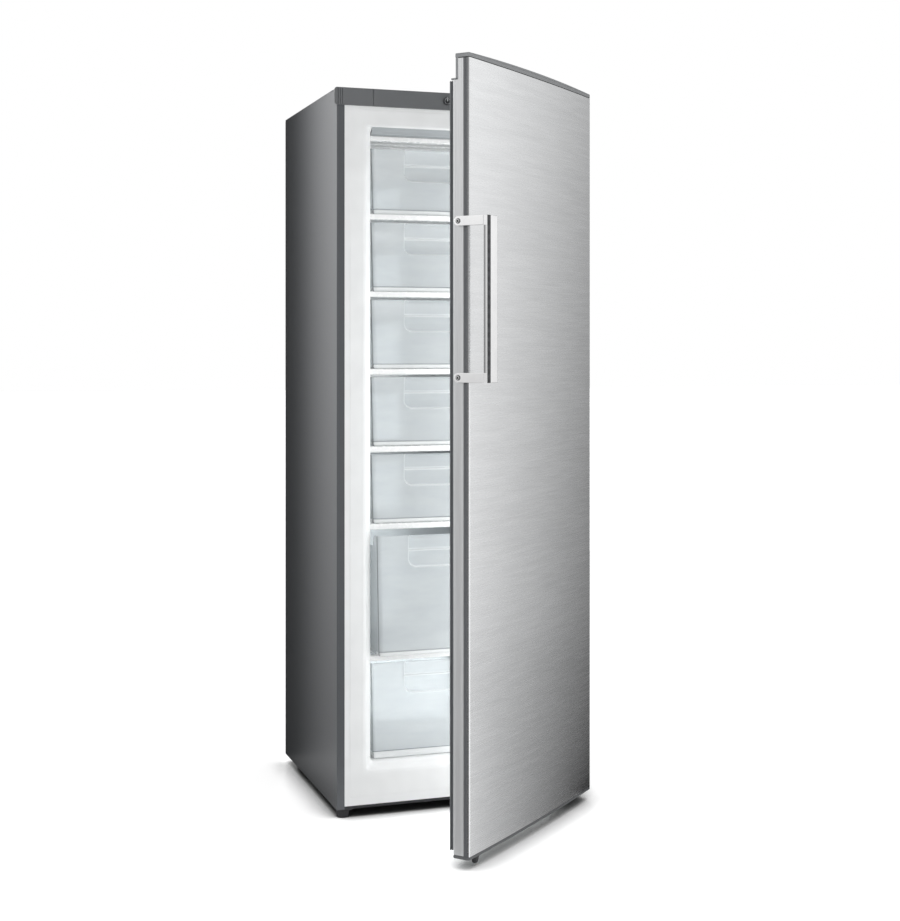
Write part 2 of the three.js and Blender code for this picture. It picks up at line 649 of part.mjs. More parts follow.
// Shelves are numbered from the top down, as the drawers are.
BAY_FLOORS.slice(1).forEach((floor, k) => {
  const number = BAY_FLOORS.length - 1 - k;
  const shelf = evaporatorShelf(SHELF_HEIGHT);
  place(`evaporator_shelf_${number}`, shelf, whitePlastic(), cabinet, [0, 0, floor - SHELF_HEIGHT]);
});
place('evaporator_top', evaporatorShelf(TOP_SHELF_HEIGHT), whitePlastic(), cabinet, [0, 0, TOP_SHELF_FLOOR]);

const stripY = [SHELF_Y[0], SHELF_Y[0] + SHELF_BAR / 2];
const stripBlock = block(SHELF_X, stripY, [STRIP_FLOOR, CAVITY_CEILING]);
place('ceiling_strip', shared(stripBlock, cavity(-FIT, 0)), greyPlastic());

// ---------------------------------------------------------------- drawers

// A rounded rectangle at one height, centred on x = 0, with its front at y = front.
function drawerRing(halfWidth, front, back, radius, z) {
  const corners = roundedCorners([-halfWidth, halfWidth], [front, back], radius);
  return corners.map((corner) => new THREE.Vector3(corner.x, corner.y, z));
}

// A drawer, drawn from its own front edge: a tub that widens upwards, open above, with low sides and a
// finger grip let into its front.
function drawer(width, depth, height, corner) {
  const half = width / 2;
  const outer = loft([
    drawerRing(half - DRAWER_DRAFT, DRAWER_RAKE, depth - DRAWER_RAKE, corner, 0),
    drawerRing(half, 0, depth, corner, height),
  ]);
  const slope = (DRAWER_DRAFT * DRAWER_WALL) / height;
  const lean = (DRAWER_RAKE * DRAWER_WALL) / height;
  const radius = corner - DRAWER_WALL;
  const inner = loft([
    drawerRing(
      half - DRAWER_DRAFT - DRAWER_WALL + slope,
      DRAWER_RAKE + DRAWER_WALL - lean,
      depth - DRAWER_RAKE - DRAWER_WALL + lean,
      radius,
      DRAWER_WALL,
    ),
    drawerRing(
      half - DRAWER_WALL + slope,
      DRAWER_WALL - lean,
      depth - DRAWER_WALL + lean,
      radius,
      height + DRAWER_WALL,
    ),
  ]);
  const gripX = [-GRIP_WIDTH / 2, GRIP_WIDTH / 2];
  const gripZ = [height - GRIP_DROP - GRIP_HEIGHT, height - GRIP_DROP];
  const pocket = prism(polygon(roundedCorners(gripX, gripZ, GRIP_RADIUS)), 'y', [-1, GRIP_DEPTH]);
  const grown = [
    [gripX[0] - GRIP_WALL, gripX[1] + GRIP_WALL],
    [gripZ[0] - GRIP_WALL, gripZ[1] + GRIP_WALL],
  ];
  const shellEdge = roundedCorners(...grown, GRIP_RADIUS + GRIP_WALL);
  const shell = prism(polygon(shellEdge), 'y', [GRIP_WALL, GRIP_DEPTH + GRIP_WALL]);
  const lowered = block(
    [-width, width],
    [DRAWER_FRONT_ZONE, depth + DRAWER_WALL],
    [height - DRAWER_SIDE_DROP, height + DRAWER_WALL],
  );
  const tub = combine(outer, [], [inner]);
  return combine(tub, [shell], [pocket, lowered]);
}

const DRAWER_FRONT = LIP_DEPTH + DRAWER_SETBACK;
const DRAWER_WIDTH = CAVITY_RIGHT - CAVITY_LEFT - 2 * DRAWER_SIDE_GAP;
const FULL_DEPTH = CAVITY_BACK - DRAWER_REAR_GAP - DRAWER_FRONT;
const SHORT_DEPTH = STEP_BACK - DRAWER_REAR_GAP - DRAWER_FRONT;
const clearPlastic = () => finish(0xdfe6e8, 0.12, 0, 0.55);

// How far each front stops below the shelf above it, from the bottom up.
const DRAWER_GAPS = BAY_FLOORS.map(() => STANDARD_DRAWER_GAP);
DRAWER_GAPS[TALL_BAY] = TALL_DRAWER_GAP;
DRAWER_GAPS[BAY_FLOORS.length - 1] = TOP_DRAWER_GAP;

BAY_FLOORS.forEach((floor, bay) => {
  const number = BAY_FLOORS.length - bay;
  const tall = bay === TALL_BAY;
  const height = BAY_HEIGHTS[bay] - DRAWER_GAPS[bay] - DRAWER_LIFT;
  const width = DRAWER_WIDTH - (tall ? 2 * TALL_DRAWER_INSET : 0);
  const depth = bay === 0 ? SHORT_DEPTH : FULL_DEPTH;
  const front = DRAWER_FRONT - (tall ? TALL_DRAWER_PULL : 0);
  const corner = bay === 0 ? SHORT_DRAWER_CORNER : DRAWER_CORNER;
  const seat = [WIDTH / 2, front, floor + DRAWER_LIFT];
  place(`drawer_${number}`, drawer(width, depth, height, corner), clearPlastic(), cabinet, seat);
});

// ---------------------------------------------------------------- compressor and its pipework

const BASE_PLATE_Y = [NICHE_FRONT, BACK_PANEL_FRONT];
const BASE_PLATE_Z = [FOOT_HEIGHT, FOOT_HEIGHT + COMPRESSOR_BASE_SHEET];
place('compressor_base', block(INSIDE_X, BASE_PLATE_Y, BASE_PLATE_Z), plainSteel());

const PUMP = new THREE.Vector2(WIDTH - COMPRESSOR_RIGHT, DEPTH - COMPRESSOR_BACK);
const PUMP_FOOT = BASE_PLATE_Z[1] + GROMMET_HEIGHT;
const PUMP_BOTTOM = PUMP_FOOT + COMPRESSOR_PLATE;

// The pump is a welded steel can with a domed top and bottom, on a square plate with four grommets.
function compressor() {
  const shoulder = COMPRESSOR_RADIUS / 3;
  const profile = [[0, 0]];
  for (let step = 0; step <= ARC_STEPS; step += 1) {
    const angle = (Math.PI / 2) * (step / ARC_STEPS);
    const radius = COMPRESSOR_RADIUS - shoulder + shoulder * Math.sin(angle);
    profile.push([radius, shoulder - shoulder * Math.cos(angle)]);
  }
  for (let step = 0; step <= ARC_STEPS; step += 1) {
    const angle = (Math.PI / 2) * (step / ARC_STEPS);
    const radius = COMPRESSOR_RADIUS - shoulder + shoulder * Math.cos(angle);
    profile.push([radius, COMPRESSOR_HEIGHT - shoulder + shoulder * Math.sin(angle)]);
  }
  profile.push([0, COMPRESSOR_HEIGHT]);
  const outline = profile.map(([radius, height]) => new THREE.Vector2(radius, height));
  const can = new THREE.LatheGeometry(outline, ROUND_STEPS).rotateX(Math.PI / 2);
  const half = COMPRESSOR_SEAT / 2;
  const plate = block([-half, half], [-half, half], [-COMPRESSOR_PLATE, COMPRESSOR_PLATE / 2]);
  const reach = half - GROMMET_RADIUS;
  const corners = [[-reach, -reach], [reach, -reach], [-reach, reach], [reach, reach]];
  const grommetZ = [-COMPRESSOR_PLATE - GROMMET_HEIGHT, -COMPRESSOR_PLATE / 2];
  const grommets = corners.map(([x, y]) => post(x, y, grommetZ, GROMMET_RADIUS, ROUND_STEPS / 2));
  return combine(can, [plate, ...grommets]);
}

const pumpSeat = [PUMP.x, PUMP.y, PUMP_BOTTOM];
place('compressor', compressor(), finish(0x1a1a1c, 0.4, 0.5), cabinet, pumpSeat);

// The terminal box is shaped to the pump's side.
const boxRight = PUMP.x - COMPRESSOR_RADIUS + TERMINAL_BOX[0] / 3;
const terminalBlock = block(
  [boxRight - TERMINAL_BOX[0], boxRight],
  [PUMP.y - TERMINAL_BOX[1] / 2, PUMP.y + TERMINAL_BOX[1] / 2],
  [PUMP_BOTTOM + TERMINAL_LIFT - TERMINAL_BOX[2] / 2, PUMP_BOTTOM + TERMINAL_LIFT + TERMINAL_BOX[2] / 2],
);
const pumpSide = post(PUMP.x, PUMP.y, [0, NICHE_TOP], COMPRESSOR_RADIUS + FIT);
place('terminal_box', combine(terminalBlock, [], [pumpSide]), blackPlastic());

const TRAY_BOTTOM = PUMP_BOTTOM + COMPRESSOR_HEIGHT + FIT;
const trayOutside = block(
  [PUMP.x - TRAY[0] / 2, PUMP.x + TRAY[0] / 2],
  [PUMP.y - TRAY[1] / 2, PUMP.y + TRAY[1] / 2],
  [TRAY_BOTTOM, TRAY_BOTTOM + TRAY[2]],
);
const trayInside = block(
  [PUMP.x - TRAY[0] / 2 + TRAY_WALL, PUMP.x + TRAY[0] / 2 - TRAY_WALL],
  [PUMP.y - TRAY[1] / 2 + TRAY_WALL, PUMP.y + TRAY[1] / 2 - TRAY_WALL],
  [TRAY_BOTTOM + TRAY_WALL, TRAY_BOTTOM + TRAY[2] + TRAY_WALL],
);
place('drip_tray', combine(trayOutside, [], [trayInside]), blackPlastic());

// A tube leaves the pump's side, runs straight out, then turns up into the insulation.
function pumpTube(angle, lift) {
  const out = new THREE.Vector3(Math.cos(angle), Math.sin(angle), 0);
  const start = new THREE.Vector3(PUMP.x, PUMP.y, PUMP_BOTTOM + lift);
  start.addScaledVector(out, COMPRESSOR_RADIUS + FIT);
  const bend = start.clone().addScaledVector(out, TUBE_RUN);
  const end = new THREE.Vector3(bend.x, bend.y, NICHE_TOP - FIT);
  const path = new THREE.CurvePath();
  const before = bend.clone().addScaledVector(out, -TUBE_RUN / 2);
  const after = bend.clone();
  after.z += TUBE_RUN / 2;
  path.add(new THREE.LineCurve3(start, before));
  path.add(new THREE.QuadraticBezierCurve3(before, bend, after));
  path.add(new THREE.LineCurve3(after, end));
  const section = new THREE.Shape().absarc(0, 0, TUBE_RADIUS, 0, 2 * Math.PI);
  const smooth = { steps: ROUND_STEPS, curveSegments: ARC_STEPS * 2 };
  return new THREE.ExtrudeGeometry(section, { ...smooth, bevelEnabled: false, extrudePath: path });
}

const spread = THREE.MathUtils.degToRad(TUBE_SPREAD);
place('discharge_tube', pumpTube(spread, DISCHARGE_LIFT), copper());
place('suction_tube', pumpTube(-spread, SUCTION_LIFT), copper());

// The drier is a swaged copper tube against the niche's front wall.
const drierProfile = [
  [0, 0],
  [DRIER_RADIUS / 3, 0],
  [DRIER_RADIUS / 3, DRIER_RADIUS],
  [DRIER_RADIUS, 2 * DRIER_RADIUS],
  [DRIER_RADIUS, DRIER_LENGTH - 2 * DRIER_RADIUS],
  [DRIER_RADIUS / 3, DRIER_LENGTH - DRIER_RADIUS],
  [DRIER_RADIUS / 3, DRIER_LENGTH],
  [0, DRIER_LENGTH],
].map(([radius, height]) => new THREE.Vector2(radius, height));
const drierSeat = [DRIER_X, NICHE_FRONT + DRIER_RADIUS + FIT, BASE_TOP + DRIER_LIFT];
const drier = new THREE.LatheGeometry(drierProfile, ROUND_STEPS / 2).rotateX(Math.PI / 2);
place('filter_drier', drier, copper(), cabinet, drierSeat);

// ---------------------------------------------------------------- door

// How far the door's face stands in front of its edges, across its width.
function bulge(x) {
  return DOOR_BULGE * (1 - ((2 * x) / WIDTH - 1) ** 2);
}

// The door's side and face line, seen from above, from one rear corner round to the other.
function doorLine(sideInset, faceInset, rear) {
  const bend = Math.max(DOOR_BEND - faceInset, 1);
  const left = sideInset + bend;
  const right = WIDTH - left;
  const face = DOOR_EDGE - faceInset;
  const corner = (x, start) =>
    Array.from({ length: ARC_STEPS }, (_, step) => {
      const angle = THREE.MathUtils.degToRad(start + (90 * step) / ARC_STEPS);
      return [x + bend * Math.cos(angle), -face + bend + bend * Math.sin(angle)];
    });
  const across = Array.from({ length: FRONT_STEPS + 1 }, (_, step) => {
    const x = left + ((right - left) * step) / FRONT_STEPS;
    return [x, -face - bulge(x) + bulge(left)];
  });
  const rightCorner = corner(right, -90).slice(1);
  return [[sideInset, -rear], ...corner(left, 180), ...across, ...rightCorner,
    [WIDTH - sideInset, -face + bend], [WIDTH - sideInset, -rear]];
}

const skinRear = DOOR_EDGE - DOOR_RETURN;
const skinOuter = doorLine(0, 0, skinRear);
const skinInner = doorLine(DOOR_SKIN, DOOR_SKIN, skinRear).reverse();
const skin = prism(polygon([...skinOuter, ...skinInner]), 'z', [STEEL_BOTTOM, STEEL_TOP]);
place('door_front_skin', skin, finish(0xc3c4c5, 0.35, 0.9), shutDoor);

const TRIM_Z = [STEEL_BOTTOM + FIT, STEEL_TOP - FIT];
const panelTop = LEDGE_BOTTOM - FIT;
const coreRear = DOOR_BACK + INNER_PANEL + FIT;
const coreSide = SIDE_TRIM + FIT;
const coreFace = DOOR_SKIN + FIT;
const notchRear = NOTCH_FRONT + NOTCH_SKIN;
const core = combine(
  prism(polygon(doorLine(coreSide, coreFace, coreRear)), 'z', TRIM_Z),
  [],
  [
    block([0, WIDTH], [-notchRear - FIT, 0], [panelTop, DOOR_TOP]),
    post(HINGE.x, HINGE.y, [0, DOOR_BOTTOM + PIN_LENGTH + FIT], BUSH_RADIUS + FIT),
    post(HINGE.x, HINGE.y, [STEEL_TOP - PIN_LENGTH - 2 * FIT, DOOR_TOP], BUSH_RADIUS + FIT),
  ],
);
place('door_foam_core', core, finish(0xe6d9a8, 0.9), shutDoor);

// The white inner panel has a raised dike all round, inside the gasket.
const panelX = [coreSide, WIDTH - coreSide];
const panelPlate = block(panelX, [-DOOR_BACK - INNER_PANEL, -DOOR_BACK], [TRIM_Z[0], panelTop]);
const DIKE_X = [DIKE_INSET, WIDTH - DIKE_INSET];
const DIKE_Z = [MOUTH_BOTTOM + LIP_BELOW, MOUTH_TOP - LIP_BELOW];
const dikeY = [-DOOR_BACK - INNER_PANEL / 2, -DOOR_BACK + DIKE_HEIGHT];
const dikeHole = block(
  [DIKE_X[0] + DIKE_WIDTH, DIKE_X[1] - DIKE_WIDTH],
  [-DOOR_BACK, 0],
  [DIKE_Z[0] + DIKE_WIDTH, DIKE_Z[1] - DIKE_WIDTH],
);
const dikeEdge = roundedCorners(DIKE_X, DIKE_Z, CAVITY_RADIUS);
const dike = prism(polygon(dikeEdge), 'y', dikeY);
place('door_inner_panel', combine(panelPlate, [combine(dike, [], [dikeHole])]), whitePlastic(), shutDoor);

const gasketX = [GASKET_FREE_INSET, WIDTH - GASKET_HINGE_INSET];
const gasketZ = [FRAME_Z[0] + GASKET_END_GAP, FRAME_Z[1] - GASKET_END_GAP];
const gasketShape = polygon(rectangle(gasketX, gasketZ));
const shrunk = (limits) => [limits[0] + GASKET_WIDTH, limits[1] - GASKET_WIDTH];
gasketShape.holes.push(polygon(rectangle(shrunk(gasketX), shrunk(gasketZ)).reverse()));
place('door_gasket', prism(gasketShape, 'y', [-DOOR_BACK + FIT, -FIT]), finish(0x6b6e70, 0.8), shutDoor);

// Down each edge: a light profile behind, a dark strip in front of it, then the steel's own return.
const stripRear = skinRear - SIDE_STRIP;
const profileFront = FIT - stripRear;
const profileEdge = polygon([
  [profileFront, TRIM_Z[0]],
  [-DOOR_BACK, TRIM_Z[0]],
  [-DOOR_BACK, panelTop],
  [-notchRear - FIT, panelTop],
  [-notchRear - FIT, TRIM_Z[1]],
  [profileFront, TRIM_Z[1]],
]);
const EDGES = { free: [0, SIDE_TRIM], hinge: [WIDTH - SIDE_TRIM, WIDTH] };
for (const [edge, x] of Object.entries(EDGES)) {
  place(`door_side_profile_${edge}`, prism(profileEdge, 'x', x), finish(0xc9cacb, 0.4, 0.5), shutDoor);
  const strip = block(x, [FIT - skinRear, -stripRear], TRIM_Z);
  place(`door_side_strip_${edge}`, strip, finish(0x55575a, 0.5), shutDoor);
}

// The upper cap covers the door's top, and its skirt and ledge line the notch behind it.
const capPlate = prism(polygon(doorLine(0, 0, NOTCH_FRONT)), 'z', [STEEL_TOP, DOOR_TOP]);
const capSkirt = block([0, WIDTH], [-notchRear, -NOTCH_FRONT], [LEDGE_BOTTOM, DOOR_TOP - FIT]);
const capLedge = block([0, WIDTH], [-notchRear, -LEDGE_FRONT], [LEDGE_BOTTOM, LEDGE_TOP]);
const hingePocket = block(
  [HINGE.x - HINGE_POCKET, WIDTH + FIT],
  [HINGE.y - HINGE_POCKET, 0],
  [STEEL_TOP - FIT, CABINET_TOP + 2 * HINGE_PLATE],
);
const topCap = combine(capPlate, [capSkirt, capLedge], [hingePocket]);
place('door_top_cap', topCap, greyPlastic(), shutDoor);

const bottomCap = combine(
  prism(polygon(doorLine(0, 0, DOOR_BACK)), 'z', [DOOR_BOTTOM, STEEL_BOTTOM]),
  [],
  [post(HINGE.x, HINGE.y, [0, STEEL_TOP], BUSH_RADIUS + FIT)],
);
place('door_bottom_cap', bottomCap, greyPlastic(), shutDoor);

const stopBlock = block(
  [CORNER_STOP_INSET, CORNER_STOP_INSET + CORNER_STOP[0]],
  [-CORNER_STOP_FRONT - CORNER_STOP[1], -CORNER_STOP_FRONT],
  [DOOR_BOTTOM - CORNER_STOP[2], DOOR_BOTTOM],
);
place('door_corner_stop', stopBlock, blackPlastic(), shutDoor);

// Each bush is a sleeve about the hinge axis; the lower one carries the door on its flange.
function bush(profile) {
  const outline = profile.map(([radius, height]) => new THREE.Vector2(radius, height));
  outline.push(outline[0].clone());
  return new THREE.LatheGeometry(outline, ROUND_STEPS).rotateX(Math.PI / 2);
}

const sleeveLength = PIN_LENGTH - FIT;
const upperBush = bush([
  [BUSH_BORE, 0],
  [BUSH_RADIUS, 0],
  [BUSH_RADIUS, sleeveLength],
  [BUSH_BORE, sleeveLength],
]);
place('door_bush_top', upperBush, blackPlastic(), shutDoor, [HINGE.x, HINGE.y, STEEL_TOP - PIN_LENGTH - FIT]);

const flangeHeight = BASE_CLEARANCE - 2 * FIT;
const lowerBush = bush([
  [BUSH_BORE, 0],
  [BUSH_FLANGE, 0],
  [BUSH_FLANGE, flangeHeight],
  [BUSH_RADIUS, flangeHeight],
  [BUSH_RADIUS, flangeHeight + PIN_LENGTH],
  [BUSH_BORE, flangeHeight + PIN_LENGTH],
]);
place('door_bush_bottom', lowerBush, blackPlastic(), shutDoor, [HINGE.x, HINGE.y, FOOT_HEIGHT + FIT]);

// ---------------------------------------------------------------- handle

const HANDLE_Z = [HANDLE_BOTTOM, HANDLE_BOTTOM + HANDLE_LENGTH];
const armX = [-ARM_THICKNESS - FIT, -FIT];
const barX = [armX[0], armX[0] + HANDLE_WIDTH];
const barBack = HANDLE_FRONT - HANDLE_THICKNESS;
const inlayX = [barX[0] + INLAY_EDGE, barX[0] + INLAY_EDGE + INLAY_WIDTH];
const groove = block(
  [inlayX[0] - FIT, inlayX[1] + FIT],
  [-HANDLE_FRONT - FIT, -HANDLE_FRONT + INLAY_DEPTH],
  [HANDLE_Z[0] - FIT, HANDLE_Z[1] + FIT],
);
const bar = combine(block(barX, [-HANDLE_FRONT, -barBack], HANDLE_Z), [], [groove]);
place('handle_bar', bar, chrome(), shutDoor);
const inlayY = [-HANDLE_FRONT, -HANDLE_FRONT + INLAY_DEPTH - FIT];
place('handle_inlay', block(inlayX, inlayY, HANDLE_Z), blackPlastic(), shutDoor);

// An arm lies flat against the door's free edge, round at its rear end, and carries the bar.
function handleArm() {
  const radius = ARM_HEIGHT / 2;
  const outline = [[FIT - barBack, -radius]];
  for (let step = 0; step <= 2 * ARC_STEPS; step += 1) {
    const angle = -Math.PI / 2 + (Math.PI * step) / (2 * ARC_STEPS);
    outline.push([-ARM_REAR - radius + radius * Math.cos(angle), radius * Math.sin(angle)]);
  }
  outline.push([FIT - barBack, radius]);
  const holeRadius = SCREW_SHANK + FIT;
  const screwHole = new THREE.CylinderGeometry(holeRadius, holeRadius, 4 * ARM_THICKNESS, SCREW_STEPS);
  screwHole.rotateZ(Math.PI / 2).translate(-ARM_THICKNESS, -SCREW_REAR, 0);
  return combine(prism(polygon(outline), 'x', armX), [], [screwHole]);
}

// A screw with a flat head, drawn about its own axis with the head outwards.
function handleScrew() {
  const profile = [
    [0, -ARM_THICKNESS],
    [SCREW_SHANK, -ARM_THICKNESS],
    [SCREW_SHANK, 0],
    [SCREW_HEAD, 0],
    [SCREW_HEAD - SCREW_HEAD_HEIGHT / 4, SCREW_HEAD_HEIGHT],
    [0, SCREW_HEAD_HEIGHT],
  ];
  const outline = profile.map(([radius, height]) => new THREE.Vector2(radius, height));
  return new THREE.LatheGeometry(outline, SCREW_STEPS).rotateZ(Math.PI / 2);
}

const ARMS = { top: HANDLE_Z[1] - ARM_HEIGHT / 2, bottom: HANDLE_Z[0] + ARM_HEIGHT / 2 };
for (const [end, z] of Object.entries(ARMS)) {
  place(`handle_arm_${end}`, handleArm(), chrome(), shutDoor, [0, 0, z]);
  const seat = [armX[0] - FIT, -SCREW_REAR, z];
  place(`handle_screw_${end}`, handleScrew(), chrome(), shutDoor, seat);
}

// ---------------------------------------------------------------- origin

freezer.updateMatrixWorld(true);
const bounds = new THREE.Box3().setFromObject(freezer, true);
const middle = bounds.getCenter(new THREE.Vector3());
freezer.position.set(-middle.x, -middle.y, -bounds.min.z);

export default freezer;
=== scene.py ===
"""Upright freezer: painted cabinet, brushed steel door and seven clear drawers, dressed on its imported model.

Places are written in the cabinet's own millimetres: X from its left side, Y from its front plane towards the
back, Z from the floor. Door pieces are drawn with the door shut and then hung on the hinge axis.
"""

import bmesh
import bpy
import numpy as np
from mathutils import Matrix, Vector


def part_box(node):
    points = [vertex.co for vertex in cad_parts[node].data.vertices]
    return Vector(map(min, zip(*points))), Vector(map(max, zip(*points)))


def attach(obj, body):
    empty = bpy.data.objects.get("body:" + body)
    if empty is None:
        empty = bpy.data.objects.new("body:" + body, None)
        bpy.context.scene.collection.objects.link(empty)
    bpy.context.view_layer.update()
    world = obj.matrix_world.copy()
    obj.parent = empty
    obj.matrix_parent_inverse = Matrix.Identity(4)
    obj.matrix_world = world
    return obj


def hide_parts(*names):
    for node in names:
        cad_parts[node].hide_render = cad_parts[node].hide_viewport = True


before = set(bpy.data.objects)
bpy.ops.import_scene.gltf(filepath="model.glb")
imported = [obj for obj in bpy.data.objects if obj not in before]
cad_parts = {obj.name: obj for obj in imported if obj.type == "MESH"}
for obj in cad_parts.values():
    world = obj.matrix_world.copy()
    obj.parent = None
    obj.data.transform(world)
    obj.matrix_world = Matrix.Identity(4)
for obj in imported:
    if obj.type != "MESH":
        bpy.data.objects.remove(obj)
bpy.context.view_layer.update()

# ---------------------------------------------------------------- sizes, in millimetres

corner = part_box("side_panel_left")[0]
ORIGIN = np.array([corner.x, corner.y, 0.0])  # the cabinet's own origin, in metres

WIDTH = 600
DEPTH = 530
FIT = 0.3  # play between neighbouring pieces
SHEET = 1  # thickness of the side panels' steel
FRONT_FOLD = 18
REAR_FOLD = 12

# front frame and cavity of the liner
FRAME_SIDE = (18, 582)
FRAME_RISE = (26.3, 1625)
MOUTH_SIDE = (63, 537)
MOUTH_RISE = (95.8, 1578)
CAVITY_SIDE = (84, 516)
CAVITY_RISE = (120, 1569)
STEP_BACK = 315  # back of the cavity's lower part, in front of the compressor niche
STEP_TOP = 305
CAVITY_BACK = 471.7
LIP_DEPTH = 20
LINER_WALL = 2

# top trim
TRIM_RISE = (1620, 1660)
TRIM_PROUD = 4
TRIM_OVERHANG = 6
TRIM_DEPTH = 40
TRIM_CORNER = 6
TRIM_GROOVES = (2, 7, 12)  # three grooves at each end
TRIM_JOINT = 85  # joint between the end piece and the long middle piece

# drawers
DRAWER_WALL = 2.5
DRAWER_DRAFT = 6
DRAWER_RAKE = 4
DRAWER_CORNER = 12
SHORT_DRAWER_CORNER = 8
DRAWER_SIDE_DROP = 25
FOOT_LINE = 10.7  # height of the line of painted shade along a drawer's foot
SHORT_FOOT_LINE = 17.5
GRIP_HALF = 132
GRIP_HEIGHT = 74
GRIP_OPEN = 16  # how far the scoop's frame runs on above the rim
GRIP_DEPTH = 20
GRIP_CORNER = 20

# door, measured forwards from the cabinet's front plane
HINGE = (588, -28)
DOOR_ANGLE = 42  # degrees open, as it stands
DOOR_BACK = 10.5
DOOR_EDGE = 48
DOOR_BULGE = 6.3
DOOR_BEND = 4
SKIN = 0.8
SKIN_REAR = 43
FOLD_FRONT = 46.4  # behind this the steel skin is folded in, and its colour is painted dark as shade
SHADED_CORNER_SIDE = 584  # the skin's lower corner over the hinge, painted dark as shade: its left limit
SHADED_CORNER_TOP = (34.2, 34.6)  # and the heights between which it ends
NOTCH_FRONT = 15.5
NOTCH_REAR = 21.5
NOTCH_FLOOR = 1616
POCKET_SIDE = HINGE[0] - 16  # the hinge's pocket in the upper cap
POCKET_FRONT = 44
POCKET_TOP = 1666
LEDGE_FRONT = 5
LEDGE_TOP = 1619.5
DOOR_BOTTOM = 22
STEEL_RISE = (29.5, 1659.5)
TRIM_SPAN = (STEEL_RISE[0] + FIT, STEEL_RISE[1] - FIT)
DOOR_TOP = 1674
CAP_DROP = 4  # how much lower the upper cap's top edge is at its ends
SIDE_TRIM = 2
GASKET_SIDE = (2, 590)
GASKET_RISE = (36.3, 1615)
DIKE_SIDE = (60, 540)
DIKE_RISE = (120, 1560)
STOP_SIDE = (32, 50)
STOP_REACH = (32, 46.5)
STOP_RISE = (7, 22)

# handle
HANDLE_RISE = (996, 1336)
HANDLE_SIDE = (-6.3, 36.7)
HANDLE_REACH = (84, 95)
INLAY_SIDE = (-6.3, 4.2)
INLAY_DEPTH = 2.2
ARM_SIDE = (-6.3, -0.3)
ARM_HEIGHT = 20
ARM_REAR = 15
SCREW_REAR = 25

# ---------------------------------------------------------------- shapes, worked out with numpy


def limits(node):
    """Lowest and highest corner of a CAD node, in the cabinet's millimetres."""
    low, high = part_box(node)
    return (np.array(low) - ORIGIN) * 1000, (np.array(high) - ORIGIN) * 1000


def set_in(span, amount):
    """A span whose two ends are moved inwards by an amount."""
    return span[0] + amount, span[1] - amount


def mix(first, second, share):
    """first (1 - share) + second share."""
    return np.asarray(first) * (1 - share) + np.asarray(second) * share


def ease(value, start, end):
    """0 before start, 1 after end, and t t (3 - 2 t) between them."""
    t = np.clip((value - start) / (end - start), 0, 1)
    return t * t * (3 - 2 * t)


def near(value, centre, reach):
    """A hump exp(-((value - centre) / reach)^2)."""
    return np.exp(-(((value - centre) / reach) ** 2))


def strongest(*shares):
    """The largest of several shares, point by point, at most 1."""
    return np.minimum(np.max(np.broadcast_arrays(*shares), axis=0), 1)


def rounded_rectangle(a, b, radius, steps=6):
    """A rectangle's outline with each corner an arc: corner centre + radius (cos t, sin t), counter-
    clockwise."""
    turn = np.radians(np.array([[-90], [0], [90], [180]]) + np.linspace(0, 90, steps + 1))
    u = np.array([a[1] - radius, a[1] - radius, a[0] + radius, a[0] + radius])[:, None]
    v = np.array([b[0] + radius, b[1] - radius, b[1] - radius, b[0] + radius])[:, None]
    return np.stack([u + radius * np.cos(turn), v + radius * np.sin(turn)], -1).reshape(-1, 2)


def filleted(corners, radii, steps=5):
    """A closed outline whose corners are eased: (1-t)^2 A + 2 t (1-t) C + t^2 B, where C is the corner and
    A and B lie one radius from it on its two sides."""
    corners = np.asarray(corners, float)
    radii = np.broadcast_to(np.asarray(radii, float), len(corners))[:, None]
    before = np.roll(corners, 1, axis=0) - corners
    after = np.roll(corners, -1, axis=0) - corners
    start = corners + radii * before / np.linalg.norm(before, axis=1, keepdims=True)
    end = corners + radii * after / np.linalg.norm(after, axis=1, keepdims=True)
    t = np.linspace(0, 1, steps + 1)[None, :, None]
    curve = (1 - t) ** 2 * start[:, None] + 2 * t * (1 - t) * corners[:, None] + t**2 * end[:, None]
    return curve.reshape(-1, 2)


def inset(outline, amount):
    """Moves each point of a closed outline inwards, square to both its sides: the sum of the two outward
    side normals, over one plus their dot product."""
    x, y = outline.T
    area = np.sum(x * np.roll(y, -1) - np.roll(x, -1) * y)
    side = np.roll(outline, -1, axis=0) - outline
    side /= np.maximum(np.linalg.norm(side, axis=1, keepdims=True), 1e-9)
    normal = np.sign(area) * np.stack([side[:, 1], -side[:, 0]], -1)
    before = np.roll(normal, 1, axis=0)
    spread = 1 + np.sum(normal * before, axis=1, keepdims=True)
    return outline - amount * (normal + before) / np.maximum(spread, 0.3)


def grid_faces(rows, columns, rows_close=False, columns_close=True):
    """Quads between neighbouring points of a grid; where a direction closes, its last line meets its
    first."""
    row = np.arange(rows if rows_close else rows - 1)[:, None]
    column = np.arange(columns if columns_close else columns - 1)[None, :]
    below, right = (row + 1) % rows, (column + 1) % columns
    here, beyond = row * columns, below * columns
    corners = [here + column, here + right, beyond + right, beyond + column]
    return np.stack(np.broadcast_arrays(*corners), -1).reshape(-1, 4).tolist()


def loft(rings):
    """A skin over a row of closed rings, with a flat face on the first and on the last."""
    rings = np.asarray(rings, float)
    count = rings.shape[1]
    last = (rings.shape[0] - 1) * count
    ends = [list(range(count))[::-1], list(range(last, last + count))]
    return rings.reshape(-1, 3), grid_faces(*rings.shape[:2]) + ends


def hoop(rings):
    """A skin over closed rings whose last one meets the first, as on a gasket."""
    rings = np.asarray(rings, float)
    return rings.reshape(-1, 3), grid_faces(*rings.shape[:2], rows_close=True)


def joined(*shells):
    """Several shells as one."""
    starts = np.cumsum([0] + [len(points) for points, _ in shells])
    faces = [[k + start for k in face] for (_, faces), start in zip(shells, starts) for face in faces]
    return np.concatenate([points for points, _ in shells]), faces


